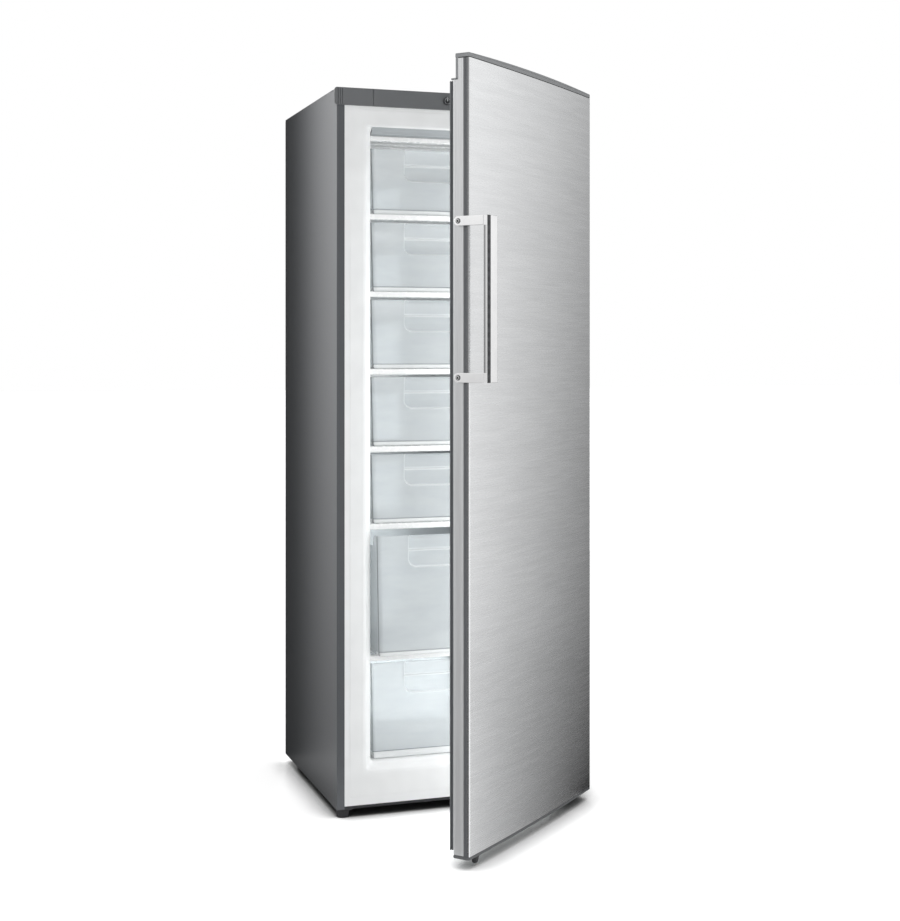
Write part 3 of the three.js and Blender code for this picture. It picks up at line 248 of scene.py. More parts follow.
def placed(u, v, w, axis):
    """Points whose place along an axis is w, and u and v along the other two."""
    return np.stack({"x": (w, u, v), "y": (u, w, v), "z": (u, v, w)}[axis], -1)


def raised(outline, axis, place):
    """A flat outline as points in space, at one place along x, y or z."""
    u, v = outline.T
    return placed(u, v, np.full_like(u, place), axis)


def ring_at(a, b, inward, radius, axis, place, steps=6):
    """A rounded rectangle between two spans, both set in by an amount, at one place along an axis."""
    return raised(rounded_rectangle(set_in(a, inward), set_in(b, inward), radius, steps), axis, place)


def banded(plan, bands):
    """A plan at several heights, each time set in by an amount."""
    return [raised(inset(plan, amount), "z", z) for z, amount in bands]


def prism(outline, axis, ends, edge=0.5, steps=3):
    """An outline carried along an axis, its end edges rounded: at angle t the ring stands edge (1 - sin t)
    inside the outline and edge (1 - cos t) from the end."""
    turn = np.linspace(0, np.pi / 2, steps)
    shrink = edge * (1 - np.sin(turn))
    run = edge * (1 - np.cos(turn))
    amounts = np.concatenate([shrink, shrink[::-1]])
    places = np.concatenate([ends[0] + run, (ends[1] - run)[::-1]])
    return loft([raised(inset(outline, amount), axis, place) for amount, place in zip(amounts, places)])


def block(x, y, z, radius=1.0, edge=0.5):
    """A block with rounded upright edges and rounded ends."""
    return prism(rounded_rectangle(x, y, radius), "z", z, edge)


def lathe(profile, centre, axis="z", sides=48, wave=None):
    """A profile of (radius, height) turned about an axis through a centre: radius (cos t, sin t), with the
    radius multiplied by wave(t) where one is given."""
    turn = np.linspace(0, 2 * np.pi, sides, endpoint=False)
    factor = wave(turn) if wave else np.ones_like(turn)
    radius, height = np.asarray(profile, float).T[:, :, None]
    u, v = radius * factor * np.cos(turn), radius * factor * np.sin(turn)
    rings = placed(u, v, np.broadcast_to(height, u.shape), axis)
    return loft(rings + np.asarray(centre, float))


def tube(path, radius, sides=10, across=(0, 0, 1)):
    """A round tube along a path: radius (cos t side + sin t lift), both square to the path."""
    path = np.asarray(path, float)
    along = np.gradient(path, axis=0)
    along /= np.linalg.norm(along, axis=1, keepdims=True)
    side = np.cross(along, across)
    side /= np.linalg.norm(side, axis=1, keepdims=True)
    lift = np.cross(side, along)
    turn = np.linspace(0, 2 * np.pi, sides, endpoint=False)[None, :, None]
    return loft(path[:, None] + radius * (np.cos(turn) * side[:, None] + np.sin(turn) * lift[:, None]))


def hung(shell):
    """Turns a shell drawn with the door shut about the hinge axis, to where the door stands."""
    points, faces = shell
    angle = np.radians(DOOR_ANGLE)
    turn = np.array([[np.cos(angle), -np.sin(angle), 0], [np.sin(angle), np.cos(angle), 0], [0, 0, 1]])
    axis = np.array([*HINGE, 0.0])
    return (points - axis) @ turn.T + axis, faces


def piece(name, shell, material, body="cabinet", instead_of=(), slot=None, sharp=32, marks=None):
    """Makes a shell a piece: in metres, faces outwards, smooth up to the sharp angle, riding on its body."""
    points, faces = shell
    mesh = bpy.data.meshes.new(name)
    mesh.from_pydata((points / 1000 + ORIGIN).tolist(), [], faces)
    for mark, values in (marks or {}).items():
        mesh.attributes.new(mark, "FLOAT", "POINT").data.foreach_set("value", values.astype(np.float32))
    skin = bmesh.new()
    skin.from_mesh(mesh)
    bmesh.ops.recalc_face_normals(skin, faces=skin.faces)
    skin.to_mesh(mesh)
    skin.free()
    mesh.shade_smooth()
    mesh.set_sharp_from_angle(angle=np.radians(sharp))
    mesh.materials.append(material)
    made = bpy.data.objects.new(name, mesh)
    evened = made.modifiers.new("flat_faces_stay_flat", "WEIGHTED_NORMAL")
    evened.keep_sharp = True
    evened.weight = 100
    bpy.context.scene.collection.objects.link(made)
    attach(made, body)
    if instead_of:
        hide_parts(*instead_of)
    return made


def door_piece(name, shell, material, node, slot, **more):
    """A piece that is drawn with the door shut and hung on it, in place of one CAD node."""
    piece(name, hung(shell), material, "door", [node], slot, **more)


# ---------------------------------------------------------------- materials


def linear(code):
    """An sRGB hex colour as linear red, green, blue and full alpha."""
    value = np.array([int(code[k : k + 2], 16) for k in (1, 3, 5)]) / 255
    return (*np.where(value <= 0.04045, value / 12.92, ((value + 0.055) / 1.055) ** 2.4), 1.0)


def add(owner, kind, inputs=None, **settings):
    """Adds a node to a material or world, with its settings, and fills its sockets with values or outputs."""
    tree = owner.node_tree
    made = tree.nodes.new(kind)
    for key, value in settings.items():
        setattr(made, key, value)
    for key, value in (inputs or {}).items():
        if isinstance(value, bpy.types.NodeSocket):
            tree.links.new(value, made.inputs[key])
        else:
            made.inputs[key].default_value = value
    return made


def feed(owner, output, node, socket):
    """Links an output to a named socket of a node that is there already."""
    owner.node_tree.links.new(output, node.inputs[socket])


def blank(kind, name):
    """A new material or world with an empty node tree."""
    made = kind.new(name)
    made.use_nodes = True
    made.node_tree.nodes.clear()
    return made


def finish(name, **values):
    """A material with one Principled surface, whose sockets are named with spaces as underscores."""
    material = blank(bpy.data.materials, name)
    surface = add(material, "ShaderNodeBsdfPrincipled", {k.replace("_", " "): v for k, v in values.items()})
    add(material, "ShaderNodeOutputMaterial", {"Surface": surface.outputs[0]})
    return material, surface


def grain(material, size, detail=3.0, turn=(0, 0, 0)):
    """Noise whose cells are size millimetres along x, y and z, turned first: values about 0.5."""
    place = add(material, "ShaderNodeTexCoord").outputs["Object"]
    turned = add(material, "ShaderNodeMapping", {"Vector": place, "Rotation": np.radians(turn)}).outputs[0]
    scale = tuple(1000 / np.broadcast_to(size, 3))
    scaled = add(material, "ShaderNodeMapping", {"Vector": turned, "Scale": scale}).outputs[0]
    noise = {"Vector": scaled, "Scale": 1.0, "Detail": detail, "Roughness": 0.6}
    return add(material, "ShaderNodeTexNoise", noise).outputs[0]


def spread(material, value, low, high, source=(0.3, 0.7)):
    """Maps a value from the source range to low..high."""
    ranges = {"Value": value, "From Min": source[0], "From Max": source[1], "To Min": low, "To Max": high}
    return add(material, "ShaderNodeMapRange", ranges).outputs[0]


def marked(material, name):
    """A mark that the mesh carries with its points: 0 to 1, and 0 where it has none."""
    return add(material, "ShaderNodeAttribute", attribute_name=name).outputs["Fac"]


def tinted(material, surface, value, dark, light, source=(0.3, 0.7), marks=()):
    """Runs the base colour from dark to light with a value, and on to each mark's own colour where it is."""
    colour = linear(dark)
    steps = [(spread(material, value, 0, 1, source), light)]
    steps += [(marked(material, mark), code) for mark, code in marks]
    for share, code in steps:
        blend = {0: share, 6: colour, 7: linear(code)}
        colour = add(material, "ShaderNodeMix", blend, data_type="RGBA").outputs[2]
    feed(material, colour, surface, "Base Color")


def bumped(material, surface, value, height):
    """Raises the surface by a value times a height in millimetres."""
    bump = add(material, "ShaderNodeBump", {"Height": value, "Distance": height / 1000, "Strength": 1.0})
    feed(material, bump.outputs[0], surface, "Normal")


def roughened(material, surface, value, low, high):
    """Varies the roughness with a value."""
    feed(material, spread(material, value, low, high), surface, "Roughness")


def grained(name, cell, detail, colours, rough, bump=None, marks=(), **values):
    """A finish whose colour and roughness follow one grain, which also raises it by bump millimetres."""
    material, surface = finish(name, **values)
    value = grain(material, cell, detail)
    tinted(material, surface, value, *colours, marks=marks)
    roughened(material, surface, value, *rough)
    if bump:
        bumped(material, surface, value, bump)
    return material


# Painted steel sheet, stoved silver-grey enamel: fine flake and a faint orange peel, half dull.
painted_steel, surface = finish("silver_grey_enamel_on_steel", Metallic=0.6, IOR=1.5)
flake = grain(painted_steel, 1.6, detail=2.0)
tinted(painted_steel, surface, flake, "#535558", "#5b5d60")
roughened(painted_steel, surface, flake, 0.34, 0.42)
bumped(painted_steel, surface, grain(painted_steel, 5, detail=1.0), 0.02)

# Thermoformed white polystyrene sheet: satin, gently uneven where the sheet was drawn.
white_liner = grained(
    "thermoformed_white_polystyrene", 60, 1, ("#f2f3f3", "#f7f8f8"), (0.3, 0.38), 0.12, IOR=1.59
)

# Epoxy-coated steel tube and wire: thick, white, smooth and rather glossy.
white_enamel = grained("white_epoxy_on_steel", 12, 1, ("#f8f9f9", "#fcfcfc"), (0.22, 0.3), IOR=1.55)

# Moulded grey ABS of the top trim and the door's lower cap: fine spark-eroded texture that keeps it matt.
trim_plastic = grained("textured_grey_abs", 1.2, 3, ("#646668", "#6a6c6e"), (0.45, 0.55), 0.03, IOR=1.53)

# The door's upper cap is the same plastic, lighter and smoother. The seam mark is painted shade in its groove.
seam = [("seam", "#1e1f20")]
cap_plastic = grained("smooth_grey_abs", 1.5, 2, ("#949698", "#9a9c9e"), (0.35, 0.45), marks=seam, IOR=1.53)

# Grey sheet over the topmost drawer, smoother than the trim: painted shade, standing in for the shadowed
# gap between the ceiling and the top shelf.
gap_shade_plastic = grained(
    "grey_gap_shade_sheet", (30, 2, 2), 2, ("#a4a9ac", "#aeb3b6"), (0.3, 0.4), IOR=1.59
)

# Black glass-filled nylon: feet, stops, bushes and the like, dull with a faint mottle.
black_plastic = grained("black_moulded_nylon", 3, 3, ("#1d1e20", "#26272a"), (0.5, 0.62), 0.03, IOR=1.53)

# Black powder-coated steel: the finely pebbled coat of the lower hinge plate and the base.
black_steel = grained("black_powder_coat", 0.9, 2, ("#17181a", "#212225"), (0.5, 0.6), 0.04, IOR=1.5)

# Black enamel of the pump's can: smooth, glossy, a little dusty.
pump_enamel = grained("black_enamel", 14, 4, ("#131416", "#1e1f21"), (0.22, 0.4), IOR=1.5)

# Hot-dip galvanised sheet: pale grey crystals about 12 mm across.
galvanised, surface = finish("galvanised_steel", Metallic=1.0)
cell = {"Scale": 1000 / 12, "Vector": add(galvanised, "ShaderNodeTexCoord").outputs["Object"]}
spangle = add(galvanised, "ShaderNodeTexVoronoi", cell).outputs["Color"]
spangle = add(galvanised, "ShaderNodeSeparateColor", {"Color": spangle}).outputs[0]
tinted(galvanised, surface, spangle, "#a3a6a8", "#b9bcbe", source=(0, 1))
roughened(galvanised, surface, spangle, 0.38, 0.55)

# Zinc-plated plate of the upper hinge: brighter and finer than the galvanised sheet.
zinc = grained("zinc_plated_steel", 4, 3, ("#b4b6b7", "#c3c5c6"), (0.28, 0.4), Metallic=1.0)

# Half-hard copper tube, dulled by handling.
copper = grained("dull_copper", 9, 4, ("#a86a48", "#c98a63"), (0.28, 0.45), Metallic=1.0)

# Rigid polyurethane foam: matt, with closed cells about a millimetre across, drawn at 3 mm.
foam, surface = finish("polyurethane_foam", IOR=1.4)
place = add(foam, "ShaderNodeTexCoord").outputs["Object"]
cells = add(foam, "ShaderNodeTexVoronoi", {"Scale": 1000 / 3, "Vector": place}).outputs["Distance"]
tinted(foam, surface, cells, "#d6c68e", "#eadfb0", source=(0.1, 0.6))
surface.inputs["Roughness"].default_value = 0.9
bumped(foam, surface, cells, 0.3)

# Brushed stainless steel: grain runs across the door. Real lines are a tenth of a millimetre, drawn here at
# 2 mm so that they show, with broader and fainter bands among them. Its fold mark is painted shade: on its
# folds and on its lower corner over the hinge.
brushed_steel, surface = finish("brushed_stainless_steel", Metallic=1.0)
hairline = grain(brushed_steel, (90, 90, 2.4), detail=1.5, turn=(0, 0, -DOOR_ANGLE))
band = grain(brushed_steel, (160, 160, 12), detail=1.0, turn=(0, 0, -DOOR_ANGLE))
both = add(brushed_steel, "ShaderNodeMath", {0: hairline, 1: band}, operation="ADD").outputs[0]
folds = [("fold_shade", "#2c2d2f")]
tinted(brushed_steel, surface, both, "#d8d9da", "#e0e1e2", source=(0.7, 1.3), marks=folds)
roughened(brushed_steel, surface, hairline, 0.245, 0.285)
bumped(brushed_steel, surface, hairline, 0.003)

# Anodised aluminium profile down the door's edge: silver, satin, drawn lengthwise.
silver_profile = grained(
    "anodised_aluminium", (1.2, 1.2, 90), 3, ("#c9cacb", "#d6d7d8"), (0.35, 0.45), Metallic=1.0
)

# Dark grey extruded PVC strip beside it.
dark_strip = grained("dark_extruded_pvc", (1.5, 1.5, 60), 2, ("#606265", "#6a6c6f"), (0.4, 0.5), IOR=1.53)

# Soft grey PVC gasket: matt, slightly greasy along its folds.
gasket_pvc = grained("soft_pvc", (3, 3, 40), 2, ("#606366", "#6c6f72"), (0.45, 0.6), IOR=1.53)

# Chrome-plated zinc casting: near mirror, with a breath of haze. The shade mark is for edges in shade.
shade = [("shade", "#3a3b3d")]
chrome = grained("chrome_plate", 25, 3, ("#f3f3f4", "#f9f9f9"), (0.08, 0.16), marks=shade, Metallic=1.0)

# Black rubbery insert of the handle, cross-ribbed every 3 mm.
inlay_rubber, surface = finish("ribbed_black_elastomer", IOR=1.5)
place = add(inlay_rubber, "ShaderNodeTexCoord").outputs["Object"]
rib = {"Vector": place, "Scale": 1000 / 3 / 20, "Distortion": 0.0}
ribs = add(inlay_rubber, "ShaderNodeTexWave", rib, bands_direction="Z").outputs["Fac"]
tinted(inlay_rubber, surface, ribs, "#202225", "#3a3c40", source=(0.2, 0.8))
surface.inputs["Roughness"].default_value = 0.5
bumped(inlay_rubber, surface, ribs, 0.2)

CLEAR_BODY = 0.42  # share of light that a clear sheet itself returns

# Clear moulded polystyrene: pale and glossy. Its thick edges carry painted light: they are drawn whiter,
# as a painted highlight, where they would catch light (gleam), and darker, as painted shade, where they
# look into the shade (line).
clear_plastic, surface = finish("clear_moulded_polystyrene", IOR=1.59, Roughness=0.12)
flow = grain(clear_plastic, (90, 60, 25), detail=2.0)
edges = [("gleam", "#fdfefe"), ("line", "#3c4244")]
tinted(clear_plastic, surface, flow, "#e6ecef", "#eef3f5", marks=edges)
both = {k: marked(clear_plastic, name) for k, (name, _) in enumerate(edges)}
at_edge = add(clear_plastic, "ShaderNodeMath", both, operation="MAXIMUM").outputs[0]
body = spread(clear_plastic, at_edge, CLEAR_BODY, 0.92, source=(0, 1))
feed(clear_plastic, body, surface, "Alpha")

# Black plastic of the dial, with a pale print where the print mark is.
printed_black, surface = finish("printed_black_plastic", IOR=1.5, Roughness=0.45)
tinted(printed_black, surface, marked(printed_black, "print"), "#121315", "#b4b6b8")

# Chrome-plated screw head, with painted shade in its cross and in the seat round the head.
chrome_screw, surface = finish("chrome_screw", Metallic=1.0, Roughness=0.22)
tinted(chrome_screw, surface, marked(chrome_screw, "recess"), "#dcdddd", "#0c0c0d", source=(0.2, 0.8))

# ---------------------------------------------------------------- cabinet shell

rear_face = DEPTH - SHEET
side_outline = [(0, 0), (FRONT_FOLD, 0), (FRONT_FOLD, SHEET), (SHEET, SHEET), (SHEET, rear_face)]
side_outline += [(REAR_FOLD, rear_face), (REAR_FOLD, DEPTH), (0, DEPTH)]
side_outline = filleted(side_outline, [2.6, 0.3, 0.3, 1.6, 1.6, 0.3, 0.3, 2.6], steps=6)
low, high = limits("side_panel_left")
left_side = prism(side_outline, "z", (low[2], high[2]), edge=0.3)
right_side = left_side[0] * [-1, 1, 1] + [WIDTH, 0, 0], left_side[1]
for side, shell in (("left", left_side), ("right", right_side)):
    node = f"side_panel_{side}"
    piece(f"{node}_folded", shell, painted_steel, instead_of=[node], slot="painted_grey")


def pressed_lid():
    """The top panel: rounded rectangles one above the other, the outer edge rolled over and the middle
    pressed in by one millimetre."""
    low, high = limits("top_panel")
    x, y = (low[0], high[0]), (low[1], high[1])
    steps = [(0, 0, 4), (0, 3, 4), (0.6, 3.7, 4), (1.6, 4, 4), (22, 4, 12), (24.5, 3.6, 12), (27, 3, 12)]
    return loft([ring_at(x, y, inward, radius, "z", low[2] + rise) for inward, rise, radius in steps])


piece("top_panel_pressed", pressed_lid(), painted_steel, instead_of=["top_panel"], slot="painted_grey")


def ribbed_back():
    """The rear sheet: upright flutes, one each pitch, pressed outwards by the height (ease up, ease down),
    away from the edges."""
    pitch, height = 75, 0.9
    low, high = limits("back_panel")
    x = np.linspace(low[0], high[0], 241)
    foot = np.linspace(low[2] + 40, low[2] + 70, 7)
    head = np.linspace(high[2] - 70, high[2] - 40, 7)
    x_grid, z_grid = np.meshgrid(x, np.concatenate([[low[2]], foot, head, [high[2]]]))
    across = ease(np.cos((x_grid - WIDTH / 2) * 2 * np.pi / pitch), 0.2, 0.75)
    inside = ease(x_grid, low[0] + 25, low[0] + 35) * (1 - ease(x_grid, high[0] - 35, high[0] - 25))
    upward = ease(z_grid, low[2] + 45, low[2] + 65) * (1 - ease(z_grid, high[2] - 65, high[2] - 45))
    rise = height * across * inside * upward
    outer = np.stack([x_grid, high[1] + rise, z_grid], -1)
    inner = np.stack([x_grid, low[1] + rise, z_grid], -1)
    return sheet_of(outer, inner)


def sheet_of(outer, inner):
    """Two grids of points joined round their edges, as one closed sheet."""
    rows, columns = outer.shape[:2]
    count = rows * columns
    outer_faces = grid_faces(rows, columns, columns_close=False)
    inner_faces = [[k + count for k in face[::-1]] for face in outer_faces]
    index = np.arange(count).reshape(rows, columns)
    rim = np.concatenate([index[0, :-1], index[:-1, -1], index[-1, :0:-1], index[:0:-1, 0]])
    edge = np.stack([rim, np.roll(rim, -1), np.roll(rim, -1) + count, rim + count], -1).tolist()
    points = np.concatenate([outer.reshape(-1, 3), inner.reshape(-1, 3)])
    return points, outer_faces + inner_faces + edge


piece("back_panel_fluted", ribbed_back(), galvanised, instead_of=["back_panel"], slot="plain_steel")


def liner():
    """The moulded liner as one skin of rounded rectangles: outside the walls from the back to the frame,
    round the frame's edge, over its crease and the mouth's double step, and back along the inside."""

    def ring(x, z, radius, y):
        return ring_at(x, z, 0, radius, "y", y, steps=8)

    def between(first, second, share, radius, y):
        return ring(mix(first[0], second[0], share), mix(first[1], second[1], share), radius, y)

    frame_edge, mouth = (FRAME_SIDE, FRAME_RISE), (MOUTH_SIDE, MOUTH_RISE)
    cavity = (CAVITY_SIDE, CAVITY_RISE)
    grown = [set_in(span, -LINER_WALL) for span in cavity]
    over_step = (STEP_TOP - LINER_WALL, grown[1][1])
    outside = [
        ring(grown[0], over_step, 12, CAVITY_BACK + LINER_WALL),
        ring(grown[0], over_step, 12, STEP_BACK + LINER_WALL),
        ring(*grown, 12, STEP_BACK + LINER_WALL),
        ring(*grown, 12, LIP_DEPTH + LINER_WALL),
        ring(*[set_in(span, -LINER_WALL) for span in mouth], 9, 1.5),
        ring(*frame_edge, 2, 1.5),
    ]
    crease = [(0, 0.75), (0.016, 0.5), (0.256, 0.5), (0.276, 0.42), (0.296, 0.08), (0.316, 0), (0.9, 0)]
    front = [between(frame_edge, mouth, share, 2 + 7 * share, y) for share, y in crease]
    turn = [(-0.06, 0.05), (0.0, 0.25), (0.1, 0.7), (0.2, 1.2), (0.27, 1.6), (0.34, 3.1), (0.46, 6.2)]
    turn += [(0.55, 8.3), (0.65, 9.5), (0.76, 10.6), (0.86, 12.6), (0.94, 15.6), (0.98, 17.8), (1.0, 20.0)]
    step = [between(mouth, cavity, share, 9, y) for share, y in turn]
    inside = [ring(*cavity, 10, y) for y in (40, 170, STEP_BACK - 4)]
    floor = [(120, STEP_BACK), (126, STEP_BACK + 0.01), (STEP_TOP - 6, STEP_BACK)]
    floor += [(STEP_TOP - 1.6, STEP_BACK + 1.6), (STEP_TOP, STEP_BACK + 6)]
    back = [ring(CAVITY_SIDE, (z, CAVITY_RISE[1]), 10, y) for z, y in floor]
    upper = (STEP_TOP, CAVITY_RISE[1])
    rear = [(0, 10, 390), (0, 10, CAVITY_BACK - 8), (2.5, 10, CAVITY_BACK - 2), (8, 9, CAVITY_BACK)]
    for inward, radius, y in rear:
        back.append(ring(set_in(CAVITY_SIDE, inward), set_in(upper, inward), radius, y))
    return loft(outside + front + step + inside + back)


piece("liner_moulded", liner(), white_liner, instead_of=["inner_liner"], slot="white_plastic")


def trim_front():
    """The trim's face: at each station along x a rounded upright section, shorter near both ends, where its
    corners are arcs, and set back by a hump's depth at each groove and joint."""
    ends = (-TRIM_OVERHANG, WIDTH + TRIM_OVERHANG)
    arc = TRIM_CORNER * (1 - np.cos(np.linspace(0, np.pi / 2, 7)))[1:]
    cuts = np.concatenate([TRIM_GROOVES, [TRIM_JOINT], WIDTH - np.array(TRIM_GROOVES), [WIDTH - TRIM_JOINT]])
    around = (cuts[:, None] + np.array([-1.2, -0.8, -0.4, 0, 0.4, 0.8, 1.2])).ravel()
    middle = np.linspace(20, WIDTH - 20, 29)
    x = [[ends[0] + 0.05], ends[0] + arc, around, middle, ends[1] - arc, [ends[1] - 0.05]]
    x = np.unique(np.concatenate(x))
    to_end = np.minimum(x - ends[0], ends[1] - x)
    short = TRIM_CORNER - np.sqrt(TRIM_CORNER**2 - np.maximum(TRIM_CORNER - to_end, 0) ** 2)
    groove = 1.9 * near(x[:, None], cuts, 0.7).sum(1)
    blunt = 1.4 * (1 - ease(to_end, 0, 2.5))
    section = [(0, 0, 0), (0, 0.6, 0), (0.25, 0.92, 0), (0.8, 1, 0), (2.2, 1, 1)]  # rise, forward, grooved
    rows = []
    for edge, way in ((TRIM_RISE[0] + short, 1), (TRIM_RISE[1] - short, -1)):
        for rise, forward, grooved in section[::way]:
            y = -TRIM_PROUD * forward + groove * grooved + blunt * (forward > 0.9)
            rows.append(np.stack([x, y, edge + way * rise], -1))
    return loft(np.stack(rows, 1))


def trim_rear():
    """The trim's lid and the wall behind its face: an angle section carried along x."""
    foot, top = TRIM_RISE[0] + 5.4, TRIM_RISE[1]
    section = [(0.2, foot), (12, foot), (12, top - 3.5), (TRIM_DEPTH, top - 3.5)]
    section += [(TRIM_DEPTH, top), (-2, top), (-2, top - 4), (0.2, top - 4)]
    section = filleted(section, [0.3, 0.5, 0.5, 0.3, 0.8, 1.0, 0.3, 0.3])
    return prism(section, "x", set_in((0, WIDTH), 1.5), edge=0.4)


trim = joined(trim_front(), trim_rear())
piece("top_trim_moulded", trim, trim_plastic, instead_of=["top_trim"], slot="grey_plastic")


def dial():
    """A finger dial seen end-on: its rim is scalloped, radius (1 + 0.03 cos 20 t), and a ring and a pointer
    are printed on its face."""
    low, high = limits("thermostat_dial")
    centre = (low + high) / 2
    profile = [(7.4, 4.1), (8.4, 4.3), (8.9, 5.2), (9, 7.6), (8.6, 8.6), (7.9, 9), (6.9, 9), (6.7, 8.6)]
    profile += [(5.6, 8.6), (5.4, 9), (2.6, 9), (0.6, 9)]
    shell = lathe(profile, (0, 0, 0), "y", sides=120, wave=lambda t: 1 + 0.03 * np.cos(20 * t))
    points = shell[0] * [1, -1, 1]
    reach = np.hypot(points[:, 0], points[:, 2])
    ring = ((reach > 6.2) & (reach < 7.0)).astype(float)
    pointer = (np.abs(points[:, 0]) < 1.4) & (points[:, 2] > 0) & (points[:, 1] < -8.9)
    return (points + [centre[0], 0, centre[2]], shell[1]), {"print": np.maximum(ring, pointer)}


shell, marks = dial()
node = "thermostat_dial"
piece(f"{node}_printed", shell, printed_black, "dial", [node], "grey_plastic", marks=marks)

# ---------------------------------------------------------------- evaporator shelves


def serpentine(low, high, runs=8, radius=4.0):
    """The cooling tube of a shelf: straight runs across, joined by half circles at alternate sides."""
    y = np.linspace(low[1] + 40, high[1] - 26, runs)
    bend = (y[1] - y[0]) / 2
    left, right = low[0] + 14 + bend, high[0] - 14 - bend
    height = high[2] - radius - 0.9
    turn = np.linspace(-np.pi / 2, np.pi / 2, 9)
    parts = []
    for k in range(runs):
        way, end = (1, right) if k % 2 == 0 else (-1, left)
        parts.append(np.stack([np.linspace(left, right, 5)[::way], np.full(5, y[k])], -1))
        if k + 1 < runs:
            arc = np.stack([end + way * bend * np.cos(turn), y[k] + bend + bend * np.sin(turn)], -1)
            parts.append(arc[1:-1])
    path = np.concatenate(parts)
    return tube(np.column_stack([path, np.full(len(path), height)]), radius, sides=12)


def shelf(node):
    """A shelf: a rounded front bar, two side rails and a rear rail, the cooling tube, and wires over it."""
    low, high = limits(node)
    rise = high[2] - low[2]
    bar = [(low[1], low[2]), (low[1] + 18, low[2]), (low[1] + 18, high[2]), (low[1], high[2])]
    bar = filleted(bar, [rise * 0.22, 1, 1.5, rise * 0.3])

    def rod(x, front, drop, radius, sides=10):
        """A straight rod from front to back, its axis below the shelf's top by drop."""
        stations = (front, (low[1] + high[1]) / 2, high[1] - 3)
        return tube([(x, y, high[2] - drop) for y in stations], radius, sides)

    rear = [(x, high[1] - 3.4, high[2] - 4) for x in (low[0] + 2, WIDTH / 2, high[0] - 2)]
    rails = [rod(x, low[1] + 15, 4, 3.2) for x in (low[0] + 3.6, high[0] - 3.6)]
    wires = [rod(x, low[1] + 16, 0.9, 0.9, sides=8) for x in np.linspace(low[0] + 18, high[0] - 18, 15)]
    front_bar = prism(bar, "x", (low[0], high[0]), edge=1.2)
    return joined(front_bar, *rails, tube(rear, 3.2), serpentine(low, high), *wires)


for node in [*(f"evaporator_shelf_{k}" for k in range(1, 7)), "evaporator_top"]:
    piece(f"{node}_tubed", shelf(node), white_enamel, instead_of=[node], slot="white_enamel")


def ceiling():
    """The grey strip over the topmost shelf, painted shade for the shadowed gap there: a hollow face over a
    lip along its lower edge.
    """
    low, high = limits("ceiling_strip")
    top, front = MOUTH_RISE[1], low[1]
    section = [(front, low[2]), (high[1], low[2]), (high[1], high[2]), (17, high[2]), (4, top - 1)]
    section += [(3, top - 1.6), (front - 4, high[2] - 4), (front - 2, low[2] + 5), (front, low[2] + 4)]
    section = filleted(section, [0.5, 0.4, 0.4, 1.0, 0.3, 0.3, 1.5, 0.8, 0.5])
    return prism(section, "x", set_in((low[0], high[0]), 1), edge=0.5)


piece("ceiling_strip_moulded", ceiling(), gap_shade_plastic, instead_of=["ceiling_strip"], slot="grey_plastic")

# ---------------------------------------------------------------- drawers


